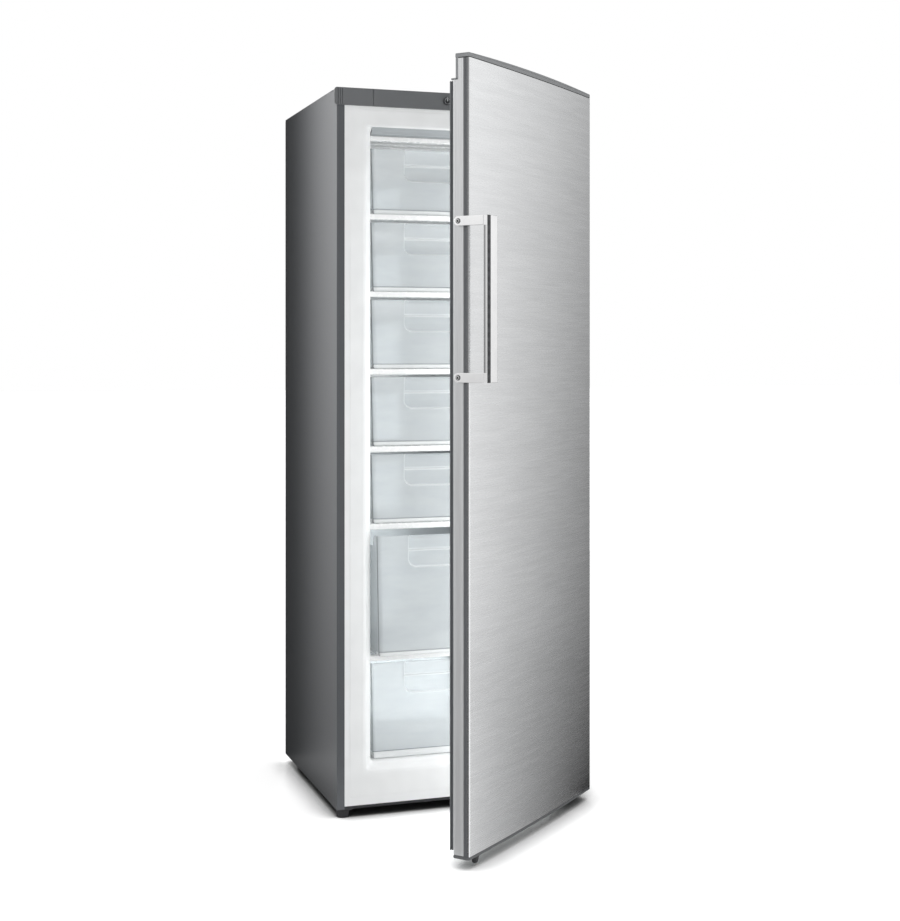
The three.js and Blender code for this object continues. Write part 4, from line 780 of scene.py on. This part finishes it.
def drawer(node):
    """A clear tub. Its wall is a grid: round the wall run stations on a rounded rectangle that narrows
    downwards, and up the outside, over the rim and down the inside run levels. The side and rear walls are
    lower by an eased step, and the front is pushed in by the grip's depth inside a rounded frame. Two marks
    of painted light go with the points: gleam, a painted highlight along the grip's frame and ledge, the rim
    and the sill below the foot line, and line, painted shade at the front corners, along the foot and
    faintly at the rim."""
    low, high = limits(node)
    width, depth, height = high - low
    short = node == "drawer_7"
    radius = SHORT_DRAWER_CORNER if short else DRAWER_CORNER
    foot_line_rise = SHORT_FOOT_LINE if short else FOOT_LINE
    half = width / 2
    straight = depth - 2 * radius

    grip_x = np.concatenate([np.arange(104, 138, 2), [142, 150, half - radius - 14]])
    front_x = np.concatenate([-grip_x[::-1], np.linspace(-80, 80, 7), grip_x])
    arc = np.radians(np.linspace(0, 90, 9))
    side_y = np.concatenate([np.linspace(0, 26, 8), np.linspace(40, straight, 6)]) / straight

    def loop(half_width, front, back):
        """Centres, outward directions and angles of the stations, for one width and depth."""
        right, left = half_width - radius, -half_width + radius
        near_y, far_y = front + radius, back - radius
        run = near_y + side_y * (far_y - near_y)
        stretches = [
            (front_x, near_y, 0),
            (right, near_y, arc),
            (right, run, np.pi / 2),
            (right, far_y, np.pi / 2 + arc),
            (left, far_y, np.pi + arc),
            (left, run[::-1], 1.5 * np.pi),
            (left, near_y, 1.5 * np.pi + arc),
        ]
        x, y, angle = np.concatenate([np.stack(np.broadcast_arrays(*each), -1) for each in stretches]).T
        return np.stack([x, y], -1), np.stack([np.sin(angle), -np.cos(angle)], -1), angle

    top, outward, angle = loop(half, 0, depth)
    foot = loop(half - DRAWER_DRAFT, DRAWER_RAKE, depth - DRAWER_RAKE)[0]
    grip_low = height - GRIP_HEIGHT
    grip_z = [-4, -2, 0, 1.5, 3, 5, 7, 10, 13, 17, 21, 25, 29, 32, 33.5, 35, 37, 40, 44, 48, 52, 56, 60]
    grip_z = grip_low + np.array([*grip_z, 64, 66, 68])
    grip_z = grip_z[grip_z > 20]
    outer = [(0, 5), (0.5, 2.6), (1.6, 1), (3.4, 0.2), (5, 0), (8.4, 0)]
    outer += [(9.3, 0), (10.2, 0.5), (11.2, 0.5), (12.1, 0), (13, 0)]
    if short:
        outer += [(foot_line_rise + k, 0) for k in (-1.6, -0.8, 0, 0.8, 1.6)]
    outer += [(z, 0) for z in grip_z]
    outer += [(height - 4.4, 0), (height - 3.8, 0), (height - 1.2, 0), (height - 0.4, 0.3), (height, 0.9)]
    inner = [(height, DRAWER_WALL - 0.9), (height - 0.4, DRAWER_WALL - 0.3), (height - 1.2, DRAWER_WALL)]
    inner += [(z, DRAWER_WALL) for z in grip_z[::-1]]
    inner += [(9, DRAWER_WALL), (5, DRAWER_WALL + 0.8), (3.2, DRAWER_WALL + 2.6)]
    inner += [(DRAWER_WALL, DRAWER_WALL + 6)]
    levels = np.array(outer + inner)
    is_inner = (np.arange(len(levels)) >= len(outer))[:, None]
    z = levels[:, :1]
    wall = levels[:, 1:]

    share = z / height
    centre = foot[None] * (1 - share[..., None]) + top[None] * share[..., None]
    in_front = np.arange(len(outward)) < len(front_x)
    centre[:, in_front, 0] = front_x
    reach = (radius - wall)[..., None] * outward[None]
    x, y = (centre + reach).transpose(2, 0, 1)
    z = z * (1 - ease(y, 24, 40) * DRAWER_SIDE_DROP / height)

    # the grip: distance inside a rounded frame, and how deep it is at each height
    grow = np.where(is_inner, 2.0, 0.0)
    dx = np.abs(x) - (GRIP_HALF + grow - GRIP_CORNER)
    middle = (height + GRIP_OPEN + grip_low) / 2
    dz = np.abs(z - middle) - ((GRIP_HEIGHT + GRIP_OPEN) / 2 + grow - GRIP_CORNER)
    inward = np.hypot(np.maximum(dx, 0), np.maximum(dz, 0)) + np.minimum(np.maximum(dx, dz), 0) - GRIP_CORNER
    fall = (height - z) / GRIP_HEIGHT
    falls = [0, 0.04, 0.12, 0.3, 0.46, 0.49, 0.52, 0.7, 0.84, 0.94, 1.0]
    hollows = [0.1, 0.45, 0.62, 0.76, 0.84, 1.0, 0.98, 0.9, 0.66, 0.36, 0.12]
    push = GRIP_DEPTH * np.interp(fall, falls, hollows) * ease(-inward, 0, 3.2)
    y = y + np.where(in_front, push, 0)

    # Painted highlight: the grip's frame and ledge, the rim and the sill, where the edges would catch light.
    frame_edge = near(inward, -1.4, 1.5) * (np.abs(x) < GRIP_HALF + 4) * in_front
    frame_edge = frame_edge * (1 - 0.35 * (np.abs(x) < GRIP_HALF - 6))
    ledge = near(fall, 0.485, 0.03) * (inward < -2) * in_front
    rim = near(z, height - 2.4, 0.8) * in_front * 0.25
    sill = (1 - ease(z, foot_line_rise - 1.7, foot_line_rise - 0.8)) * (y < 30) * 0.75
    gleam = strongest(frame_edge * 0.95, ledge * 0.75, rim, sill) * ~is_inner
    # Painted shade: the front corners, the foot and the rim, where the edges look into the shade.
    turned = np.degrees(np.minimum(angle, 2 * np.pi - angle))
    corner_shade = near(turned, 66, 11)
    foot_shade = near(z, foot_line_rise, 0.8) * (turned < 75)
    rim_shade = near(z, height - 0.3, 0.5) * (turned < 60) * 0.35
    line = strongest(corner_shade, foot_shade, rim_shade) * ~is_inner
    points = np.stack([x + (low[0] + high[0]) / 2, y + low[1], z + low[2]], -1)
    return loft(points), {"gleam": gleam.ravel(), "line": line.ravel()}


for node in [f"drawer_{k}" for k in range(1, 8)]:
    shell, marks = drawer(node)
    piece(f"{node}_clear", shell, clear_plastic, f"{node}_body", [node], "clear_plastic", marks=marks)

# ---------------------------------------------------------------- door


def door_outline(side, face, rear, face_steps=48, bend_steps=6):
    """The door from above, from one rear corner round to the other: upright sides, arcs of the bend's
    radius, and a face that stands forward by bulge (1 - (2 x / width - 1)^2)."""
    bend = max(DOOR_BEND - face, 1)
    left, right = side + bend, WIDTH - side - bend
    front = DOOR_EDGE - face

    def forward(x):
        return DOOR_BULGE * (1 - (2 * x / WIDTH - 1) ** 2)

    turn = np.radians(np.linspace(180, 270, bend_steps, endpoint=False))
    left_arc = np.stack([left + bend * np.cos(turn), -front + bend + bend * np.sin(turn)], -1)
    x = np.linspace(left, right, face_steps + 1)
    across = np.stack([x, -front - forward(x) + forward(left)], -1)
    turn = np.radians(np.linspace(270, 360, bend_steps + 1))[1:]
    right_arc = np.stack([right + bend * np.cos(turn), -front + bend + bend * np.sin(turn)], -1)
    return np.concatenate([[(side, -rear)], left_arc, across, right_arc, [(WIDTH - side, -rear)]])


skin_section = np.concatenate([door_outline(0, 0, SKIN_REAR), door_outline(SKIN, SKIN, SKIN_REAR)[::-1]])
skin = loft([raised(skin_section, "z", z) for z in (STEEL_RISE[0], *SHADED_CORNER_TOP, STEEL_RISE[1])])
x, y, z = skin[0].T
# Painted shade: the skin's folded sides and its lower corner over the hinge are painted dark.
shaded_corner = (x > SHADED_CORNER_SIDE) & (z < SHADED_CORNER_TOP[1])
marks = {"fold_shade": np.maximum(0.75 * (y > -FOLD_FRONT), shaded_corner)}
door_piece("door_skin_brushed", skin, brushed_steel, "door_front_skin", "brushed_steel", marks=marks)


def upper_cap():
    """The door's upper cap: its plan carried upwards in bands, each set in by part of a millimetre, with the
    hinge pocket left open below, and a skirt and a ledge lining the notch behind it. Its top edge is lower
    at both ends, by drop (2 x / width - 1)^2. The seam mark is painted shade, 1 in the groove over the steel."""
    plan = door_outline(0, 0, NOTCH_FRONT)[:-1]
    front, rear = (WIDTH, -POCKET_FRONT), (POCKET_SIDE, -NOTCH_FRONT)
    open_plan = np.concatenate([plan, [front, (POCKET_SIDE, -POCKET_FRONT), rear]])
    shut_plan = np.concatenate([plan, [front, (WIDTH, -NOTCH_FRONT), rear]])
    lower = [(STEEL_RISE[1], 0.9), (1660.6, 0.9), (1661.0, 0.2), (1661.6, 0.0), (1665.9, 0.0)]
    upper = [(POCKET_TOP, 0.0), (1668.2, 0.0), (1668.7, 0.5), (1669.3, 0.5), (1669.8, 0.0), (1672.2, 0.1)]
    upper += [(1673.2, 0.6), (1673.8, 1.6), (DOOR_TOP, 3.2)]
    top = np.stack(banded(open_plan, lower) + banded(shut_plan, upper))
    off_middle = (2 * top[..., 0] / WIDTH - 1) ** 2
    top[..., 2] -= CAP_DROP * off_middle * ease(top[..., 2], POCKET_TOP, DOOR_TOP)
    skirt_y, skirt_z = (-NOTCH_REAR, -NOTCH_FRONT - 0.2), (NOTCH_FLOOR, POCKET_TOP)
    skirt = block((0.2, POCKET_SIDE - FIT), skirt_y, skirt_z, 0.8)
    ledge = block(set_in((0, WIDTH), 0.2), (-NOTCH_REAR, -LEDGE_FRONT), (NOTCH_FLOOR, LEDGE_TOP), 1.2)
    shell = joined(loft(top), skirt, ledge)
    y, z = shell[0].T[1:]
    # The seam mark is painted shade in the groove between the cap and the steel.
    return shell, {"seam": (z > STEEL_RISE[1] - 0.5) & (z < 1661.2) & (y < -NOTCH_FRONT)}


shell, marks = upper_cap()
door_piece("door_cap_upper", shell, cap_plastic, "door_top_cap", "cap_plastic", marks=marks)


def lower_cap():
    """The door's lower cap: its plan carried upwards, rounded under and grooved under the steel."""
    bands = [(DOOR_BOTTOM, 2.2), (22.5, 1), (23.6, 0.2), (25, 0), (28, 0), (28.4, 0.8), (STEEL_RISE[0], 0.8)]
    return loft(banded(door_outline(0, 0, DOOR_BACK), bands))


door_piece("door_cap_lower", lower_cap(), trim_plastic, "door_bottom_cap", "cap_plastic")


def edge_strip(edge, ribs, span):
    """A strip down one edge of the door. Its outer face runs through ribs of (distance forwards, depth)."""
    outer, inner, way = (0, SIDE_TRIM, 1) if edge == "free" else (WIDTH, WIDTH - SIDE_TRIM, -1)
    face = [(outer + way * depth, -forward) for forward, depth in ribs]
    profile = np.array(face + [(inner, -ribs[-1][0]), (inner, -ribs[0][0])])
    return loft([raised(profile, "z", z) for z in span])


PROFILE_RIBS = [(DOOR_BACK, 0.6), (11.6, 0.0), (14.2, 0.0), (14.8, 0.5), (15.4, 0.5), (16.0, 0.0)]
PROFILE_RIBS += [(28.6, 0.0), (29.2, 0.5), (29.8, 0.5), (30.4, 0.0), (32.8, 0.0), (33.7, 0.7)]
# Beside the notch the profile starts further forwards; the ribs behind that close up, a hundredth apart.
SHORT_RIBS = [(max(n, NOTCH_REAR + FIT + 0.01 * k), depth) for k, (n, depth) in enumerate(PROFILE_RIBS)]
STRIP_RIBS = [(34, 0.7), (34.7, 0.1), (37.6, 0.1), (38.1, 0.8), (38.7, 0.8), (39.2, 0.1), (42, 0.1)]
STRIP_RIBS += [(42.7, 0.7)]
for edge in ("free", "hinge"):
    lower = edge_strip(edge, PROFILE_RIBS, (TRIM_SPAN[0], NOTCH_FLOOR - FIT))
    upper = edge_strip(edge, SHORT_RIBS, (NOTCH_FLOOR - FIT, TRIM_SPAN[1]))
    name, node = f"door_profile_{edge}_ribbed", f"door_side_profile_{edge}"
    door_piece(name, joined(lower, upper), silver_profile, node, "silver_profile", sharp=20)
    strip = edge_strip(edge, STRIP_RIBS, TRIM_SPAN)
    name, node = f"door_strip_{edge}_ribbed", f"door_side_strip_{edge}"
    door_piece(name, strip, dark_strip, node, "dark_strip", sharp=20)


def gasket():
    """The door's gasket: a section of magnet pocket, bellows and foot, carried round a rectangle. Each
    point of the section is a rectangle set in by its distance across."""
    section = [(1.6, 0.4), (14.4, 0.4), (15.4, 1.2), (15.2, 3.2), (13.2, 3.9), (12.6, 4.6), (14.8, 5.6)]
    section += [(15.6, 6.6), (14.6, 7.6), (12.2, 8.2), (12.0, 10.1), (4.0, 10.1), (3.8, 8.2), (1.4, 7.6)]
    section += [(0.4, 6.6), (1.2, 5.6), (3.4, 4.6), (2.8, 3.9), (0.8, 3.2), (0.6, 1.2)]
    section = filleted(section, 0.35, steps=2)
    return hoop([ring_at(GASKET_SIDE, GASKET_RISE, across, 0.4, "y", -n, steps=2) for across, n in section])


door_piece("door_gasket_folded", gasket(), gasket_pvc, "door_gasket", "gasket_rubber")


def inner_panel():
    """The door's white inner panel as rounded rectangles: its plate, the raised dike with eased edges, and
    a shallow field pressed in inside it."""
    plate = (set_in((0, WIDTH), SIDE_TRIM + FIT), (TRIM_SPAN[0], NOTCH_FLOOR - FIT))
    rings = [ring_at(*plate, 0, 1.5, "y", -forward, steps=8) for forward in (12.5, 10.6)]
    relief = [(-3.5, 10.5, 14), (-1, 10.2, 12), (0.6, 9, 11), (1.4, 4.6, 10), (2.2, 3.2, 10), (4, 2.5, 9)]
    relief += [(11, 2.5, 8), (12.8, 3.2, 8), (13.6, 4.6, 8), (14.4, 9, 8), (15.6, 10.2, 8), (18, 10.5, 8)]
    relief += [(46, 10.5, 22), (48.5, 10.3, 21), (52, 9.3, 20), (54.5, 9.1, 19), (80, 9.1, 16)]
    relief += [(82, 9.3, 15), (85, 10.3, 14), (87, 10.5, 13)]
    for inward, forward, radius in relief:
        rings.append(ring_at(DIKE_SIDE, DIKE_RISE, inward, radius, "y", -forward, steps=8))
    return loft(rings)


door_piece("door_inner_panel_moulded", inner_panel(), white_liner, "door_inner_panel", "white_plastic")


def corner_stop():
    """The black stop under the free corner: a rounded block, stepped under its head, narrower downwards."""
    low, high = STOP_RISE
    y = (-STOP_REACH[1], -STOP_REACH[0])
    levels = [(high, 0), (high - 1.6, 0), (high - 2.2, 0.9), (high - 3.2, 1.2), (low + 1.2, 2.6), (low, 3.6)]
    return loft([ring_at(STOP_SIDE, y, inward, 3, "z", z) for z, inward in levels])


door_piece("door_corner_stop_moulded", corner_stop(), black_plastic, "door_corner_stop", "black_plastic")

# ---------------------------------------------------------------- handle


def handle_bar():
    """The bar: an upright flat section with rounded edges and a groove for the insert. The shade mark is
    0.8 along its rear left edge, between the arms."""
    left, right = HANDLE_SIDE
    back, front = HANDLE_REACH
    seat, seat_depth = INLAY_SIDE[1] + FIT, -front + INLAY_DEPTH + 0.1
    section = [(left, -back), (right, -back), (right, -front + 2.4), (right - 2.4, -front), (seat, -front)]
    section += [(seat, seat_depth), (left, seat_depth)]
    section = filleted(section, [1.5, 1.5, 1.2, 1.2, 0.3, 0.3, 0.3])
    low, high = HANDLE_RISE
    levels = [(low, 0.5), (low + 0.5, 0), (low + ARM_HEIGHT, 0), (low + ARM_HEIGHT + 0.5, 0)]
    levels += [(high - ARM_HEIGHT - 0.5, 0), (high - ARM_HEIGHT, 0), (high - 0.5, 0), (high, 0.5)]
    shell = loft(banded(section, levels))
    x, y, z = shell[0].T
    between = (z > low + ARM_HEIGHT + 0.2) & (z < high - ARM_HEIGHT - 0.2)
    return shell, {"shade": 0.8 * (between & (np.hypot(x - left, y + back) < 1.8))}


shell, marks = handle_bar()
door_piece("handle_bar_chromed", shell, chrome, "handle_bar", "polished_metal", marks=marks)
left, right = INLAY_SIDE
front, back = -HANDLE_REACH[1], -HANDLE_REACH[1] + INLAY_DEPTH
inlay = [(left, back), (right, back), (right, front), (left, front)]
inlay = prism(filleted(inlay, [0.3, 0.3, 0.8, 0.8]), "z", set_in(HANDLE_RISE, 0.4), edge=0.4)
door_piece("handle_insert_ribbed", inlay, inlay_rubber, "handle_inlay", "handle_inlay")


def handle_arm(middle):
    """An arm: flat, round at its rear end, with eased edges. The shade mark is 0.8 along its underside."""
    half = ARM_HEIGHT / 2
    over, under = middle + half, middle - half
    turn = np.radians(np.linspace(-90, 90, 17))
    nose = np.stack([-ARM_REAR - half + half * np.cos(turn), middle + half * np.sin(turn)], -1)
    reach = -HANDLE_REACH[0] + FIT
    tip = [(reach + 0.4, over), (reach, over - 0.4), (reach, under + 0.4), (reach + 0.4, under)]
    shell = prism(np.concatenate([nose, tip]), "x", ARM_SIDE, edge=0.9, steps=4)
    return shell, {"shade": 0.8 * (shell[0][:, 2] < under + 0.2)}


def screw(middle):
    """A pan-head screw: a dome whose height falls by 1.1 inside a cross, eased from 0.7 to 1.15 off its
    middle lines. Its mark is painted shade: 1 in the cross and in the seat around the head."""
    turn = np.linspace(0, 2 * np.pi, 64, endpoint=False)
    profile = [(5.5, 0.0), (5.5, 0.25), (4.9, 0.25), (4.75, 0.3), (4.7, 1.2), (4.4, 1.7), (3.9, 1.95)]
    profile += [(radius, 2.0) for radius in (3.3, 2.9, 2.5, 2.1, 1.7, 1.3, 0.9, 0.5, 0.2)]
    radius, dome = np.array(profile).T[:, :, None]
    u, v = radius * np.cos(turn), radius * np.sin(turn)
    cross = (1 - ease(np.minimum(np.abs(u + v), np.abs(u - v)) / np.sqrt(2), 0.7, 1.15)) * (radius < 3.1)
    seat = np.broadcast_to(radius > 4.35, u.shape)
    x = ARM_SIDE[0] - FIT / 2 - (dome - 1.1 * cross)
    shell = loft(np.stack([x, -SCREW_REAR + u, middle + v], -1))
    return shell, {"recess": np.maximum(cross, seat).ravel()}


for end, middle in (("top", HANDLE_RISE[1] - ARM_HEIGHT / 2), ("bottom", HANDLE_RISE[0] + ARM_HEIGHT / 2)):
    shell, marks = handle_arm(middle)
    node = f"handle_arm_{end}"
    door_piece(f"{node}_chromed", shell, chrome, node, "polished_metal", marks=marks)
    shell, marks = screw(middle)
    node = f"handle_screw_{end}"
    door_piece(f"{node}_recessed", shell, chrome_screw, node, "polished_metal", marks=marks)

# ---------------------------------------------------------------- feet, base and compressor


def levelling_foot(node):
    """A levelling foot: a disc with 24 grip ribs, radius (1 + 0.035 cos 24 t), on a plain stud."""
    low, high = limits(node)
    centre = (low + high) / 2
    place = (centre[0], centre[1], 0)
    disc = [(12.6, 0), (13.3, 0.4), (13.5, 1.6), (13.5, 14.2), (12.9, 15.6), (11.8, 16.4), (4.6, 16.6)]
    shell = lathe(disc, place, sides=192, wave=lambda t: 1 + 0.035 * np.cos(24 * t))
    thread = np.linspace(8, high[2], 60)
    stud = np.stack([3.7 + 0.28 * np.cos(thread * 2 * np.pi / 1.5), thread], -1)
    return joined(shell, lathe(stud, place, sides=24))


for side in ("left", "right"):
    node, body = f"front_foot_{side}", f"levelling_foot_{side}"
    piece(f"{node}_ribbed", levelling_foot(node), black_plastic, body, [node], "black_plastic")


def pump():
    """The compressor: a can turned from a profile of two quarter-circle shoulders with a welded seam, on
    its mounting plate with four grommets."""
    low, high = limits("compressor")
    centre = (low + high) / 2
    radius, shoulder, height, half = 72, 24, 150, 75
    bottom = high[2] - height
    turn = np.linspace(0, np.pi / 2, 10)
    out, along = shoulder * np.sin(turn), shoulder * np.cos(turn)
    under = np.stack([radius - shoulder + out, shoulder - along], -1)
    seam = [(71.4, 58), (71.4, 60), (72, 60.6), (72, 64), (71.4, 64.6), (71.4, 66)]
    over = np.stack([radius - 0.6 - shoulder + along, height - shoulder + out], -1)
    profile = np.concatenate([[(4, 0)], under[1:], seam, over, [(4, height)]])
    can = lathe(profile, (centre[0], centre[1], bottom), sides=72)
    x, y = [(place - half, place + half) for place in centre[:2]]
    plate = block(x, y, (bottom - 4, bottom + 2), 12)
    grommet = [(8, 0), (10, 0.8), (10, 4.6), (7.5, 5.2), (7.5, 6.8), (10, 7.4), (10, 11), (8, 11.8)]
    spots = [(i, j, bottom - 16) for i in set_in(x, 12) for j in set_in(y, 12)]
    return joined(can, plate, *[lathe(grommet, spot, sides=32) for spot in spots])


piece("compressor_can", pump(), pump_enamel, instead_of=["compressor"], slot="black_steel")

# CAD nodes that keep their own shape
SMALL_PLASTICS = ["rear_foot_left", "rear_foot_right", "thermostat_body", "terminal_box", "drip_tray"]
CAD_FINISHES = {
    foam: ["insulation_foam"],
    cap_plastic: ["door_foam_core"],  # shows only in the hinge pocket, which the cap's plastic lines
    black_steel: ["base_pan", "bottom_hinge_bracket", "left_foot_plate"],
    black_plastic: [*SMALL_PLASTICS, "door_bush_top", "door_bush_bottom"],
    zinc: ["top_hinge_bracket"],
    galvanised: ["compressor_base", "insulation_foam_base"],  # the niche is skinned with sheet
    trim_plastic: ["top_hinge_cover"],
    copper: ["discharge_tube", "suction_tube", "filter_drier"],
}
for material, nodes in CAD_FINISHES.items():
    for node in nodes:
        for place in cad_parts[node].material_slots:
            place.material = material

# ---------------------------------------------------------------- floor, world, lamps and camera

AMBIENT = 0.5  # strength of the world's light; the background itself shows at full white
FLOOR_GLOW = 0.7
FLOOR_REACH = 40.0  # half the floor's width, in metres
CARD_LIFT = 3  # height of the cards that lie over the floor
CARD_STEPS = 24
CAMERA_TURN = 18.731


def metres(x, y, z):
    """A place in the cabinet's millimetres, in metres."""
    return tuple(np.array([x, y, z]) / 1000 + ORIGIN)


def seen_directly(owner):
    """1 for rays that show the background: from the camera, off gloss and through glass."""
    path = add(owner, "ShaderNodeLightPath").outputs
    seen = path["Is Camera Ray"]
    for kind in ("Is Glossy Ray", "Is Transmission Ray"):
        both = {0: seen, 1: path[kind]}
        seen = add(owner, "ShaderNodeMath", both, operation="ADD", use_clamp=True).outputs[0]
    return seen


world = blank(bpy.data.worlds, "studio")
bpy.context.scene.world = world
soft = add(world, "ShaderNodeBackground", {"Color": (1, 1, 1, 1), "Strength": AMBIENT})
white = add(world, "ShaderNodeBackground", {"Color": (1, 1, 1, 1), "Strength": 1.0})
blend = add(world, "ShaderNodeMixShader", {0: seen_directly(world), 1: soft.outputs[0], 2: white.outputs[0]})
add(world, "ShaderNodeOutputWorld", {"Surface": blend.outputs[0]})

# A pale studio floor, darker where the freezer shades it, and darker still near the freezer because its
# colour and glow follow ambient occlusion: painted contact shadow. Its own glow, which only the rays that
# show the background see, brings its unshaded part up to white.
floor_paint = blank(bpy.data.materials, "pale_studio_floor")
ground = add(floor_paint, "ShaderNodeBsdfPrincipled", {"Roughness": 0.35, "IOR": 1.4})
glow = add(floor_paint, "ShaderNodeEmission", {"Color": (1, 1, 1, 1)})
# Ambient occlusion darkens both the floor's colour and its glow near the freezer: painted contact shadow.
open_sky = add(floor_paint, "ShaderNodeAmbientOcclusion", {"Distance": 0.12}, samples=8).outputs["AO"]
level = spread(floor_paint, open_sky, 0, FLOOR_GLOW, source=(0.4, 0.76))
tinted(floor_paint, ground, open_sky, "#2c2c2c", "#ececec", source=(0.2, 0.78))
level = add(floor_paint, "ShaderNodeMath", {0: seen_directly(floor_paint), 1: level}, operation="MULTIPLY")
feed(floor_paint, level.outputs[0], glow, "Strength")
total = add(floor_paint, "ShaderNodeAddShader", {0: ground.outputs[0], 1: glow.outputs[0]})
add(floor_paint, "ShaderNodeOutputMaterial", {"Surface": total.outputs[0]})
floor_mesh = bpy.data.meshes.new("studio_floor")
corners = [(-1, -1, 0), (1, -1, 0), (1, 1, 0), (-1, 1, 0)]
floor_mesh.from_pydata((np.array(corners) * FLOOR_REACH).tolist(), [], [(0, 1, 2, 3)])
floor_mesh.materials.append(floor_paint)
floor = bpy.data.objects.new("studio_floor", floor_mesh)
bpy.context.scene.collection.objects.link(floor)


def lamp(name, place, aim, size, power):
    """A soft rectangular lamp at a place, facing a point. Neither the camera nor a reflection shows it."""
    light = bpy.data.lights.new(name, "AREA")
    light.shape = "RECTANGLE"
    light.size, light.size_y = size
    light.energy = power
    made = bpy.data.objects.new(name, light)
    made.location = metres(*place)
    towards = np.array(metres(*aim)) - np.array(metres(*place))
    made.rotation_euler = Vector(towards).to_track_quat("-Z", "Y").to_euler()
    made.visible_camera = False
    made.visible_glossy = False
    bpy.context.scene.collection.objects.link(made)


def upright(first, second, top):
    """Corners of an upright card that stands on the floor between two places in plan."""
    return [(*first, 0), (*second, 0), (*second, top), (*first, top)]


def lying(*plan):
    """Corners of a card that lies over the floor."""
    return [(*place, CARD_LIFT) for place in plan]


def card(name, corners, tones, bend=1.0):
    """A graded studio card that only glossy surfaces see, and only from its front: a flat sheet between
    four corners, given in order round it, whose tone runs between theirs as (share of the way) ^ bend."""
    line = np.linspace(0, 1, CARD_STEPS)
    s, t = np.meshgrid(line, line, indexing="ij")

    def blended(values, s):
        shares = np.stack([(1 - s) * (1 - t), s * (1 - t), s * t, (1 - s) * t], -1)
        return shares @ np.array(values, float)

    mesh = bpy.data.meshes.new(name)
    points = blended(corners, s).reshape(-1, 3)
    faces = grid_faces(CARD_STEPS, CARD_STEPS, columns_close=False)
    mesh.from_pydata((points / 1000 + ORIGIN).tolist(), [], faces)
    tone = blended(tones, s**bend).ravel().astype(np.float32)
    mesh.attributes.new("tone", "FLOAT", "POINT").data.foreach_set("value", tone)
    sheet = blank(bpy.data.materials, name)
    level = marked(sheet, "tone")
    lit = add(sheet, "ShaderNodeEmission", {"Color": (1, 1, 1, 1), "Strength": level})
    behind = add(sheet, "ShaderNodeNewGeometry").outputs["Backfacing"]
    clear = add(sheet, "ShaderNodeBsdfTransparent")
    shown = add(sheet, "ShaderNodeMixShader", {0: behind, 1: lit.outputs[0], 2: clear.outputs[0]})
    add(sheet, "ShaderNodeOutputMaterial", {"Surface": shown.outputs[0]})
    mesh.materials.append(sheet)
    made = bpy.data.objects.new(name, mesh)
    for kind in ("camera", "diffuse", "shadow", "transmission", "volume_scatter"):
        setattr(made, f"visible_{kind}", False)
    bpy.context.scene.collection.objects.link(made)


lamp("key", (-400, -3200, 1700), (300, 0, 800), (2.4, 2.0), 24.5)
lamp("door_bounce", (370, -190, 790), (60, 60, 790), (0.5, 1.5), 4.7)
lamp("upper_cavity_lamp", (190, 460, 940), (190, 0, 940), (0.2, 1.2), 1.5)
lamp("lower_cavity_lamp", (220, 308, 215), (220, 0, 215), (0.3, 0.16), 0.45)
lamp("top_bay_lamp", (240, 180, 1400), (240, 180, 1600), (0.3, 0.3), 0.1)

# What the side panel and the open door mirror: walls round the freezer, and the floor before each of them
SIDE_END = (-170, 562)
DOOR_NEAR, DOOR_MIDDLE, DOOR_FAR = (2500, -300), (2500, 1000), (2500, 6000)
card("side_card", upright((-2, 562), SIDE_END, 1900), [0.04, 1.03, 5.6, 0.1], 8.5)
card("side_floor_card", lying((-4, 562), (-4, -30), (-175, -30), (-175, 562)), [0.04, 0.8, 0.9, 0.9], 5.0)
card("side_backdrop", upright(SIDE_END, (-3500, 900), 2600), [0.8, 0.7, 2.2, 3.2])
card("left_backdrop", upright((-2600, 500), (-2600, -2500), 2600), [0.45, 0.45, 1.2, 1.2])
card("left_floor_card", lying((140, -435), (140, -3500), (-2600, -2500), (-2600, 500)), [0.5, 0.6, 0.7, 0.7])
card("door_backdrop", upright(DOOR_NEAR, DOOR_MIDDLE, 4200), [1.3, 0.0, 0.72, 2.05], 0.65)
card("far_backdrop", upright(DOOR_MIDDLE, DOOR_FAR, 4200), [0.0, 0.0, 0.72, 0.68], 1.8)
card("door_floor_card", lying((170, -470), (640, -40), DOOR_MIDDLE, DOOR_NEAR), [1.15, 0.0, 0.0, 1.3], 0.5)
card("far_floor_card", lying((640, -40), (640, 4000), DOOR_FAR, DOOR_MIDDLE), [0.05, 0.0, 0.0, 0.0])

camera_data = bpy.data.cameras.new("photo_camera")
camera_data.lens = 60.748
camera_data.sensor_width = 36
camera_data.shift_y = -0.11614
camera = bpy.data.objects.new("photo_camera", camera_data)
camera.location = metres(-888.6, -3419.1, 1055.5)
camera.rotation_euler = (np.pi / 2, 0, -np.radians(CAMERA_TURN))
bpy.context.scene.collection.objects.link(camera)
bpy.context.scene.camera = camera

bpy.context.scene.view_settings.view_transform = "Standard"
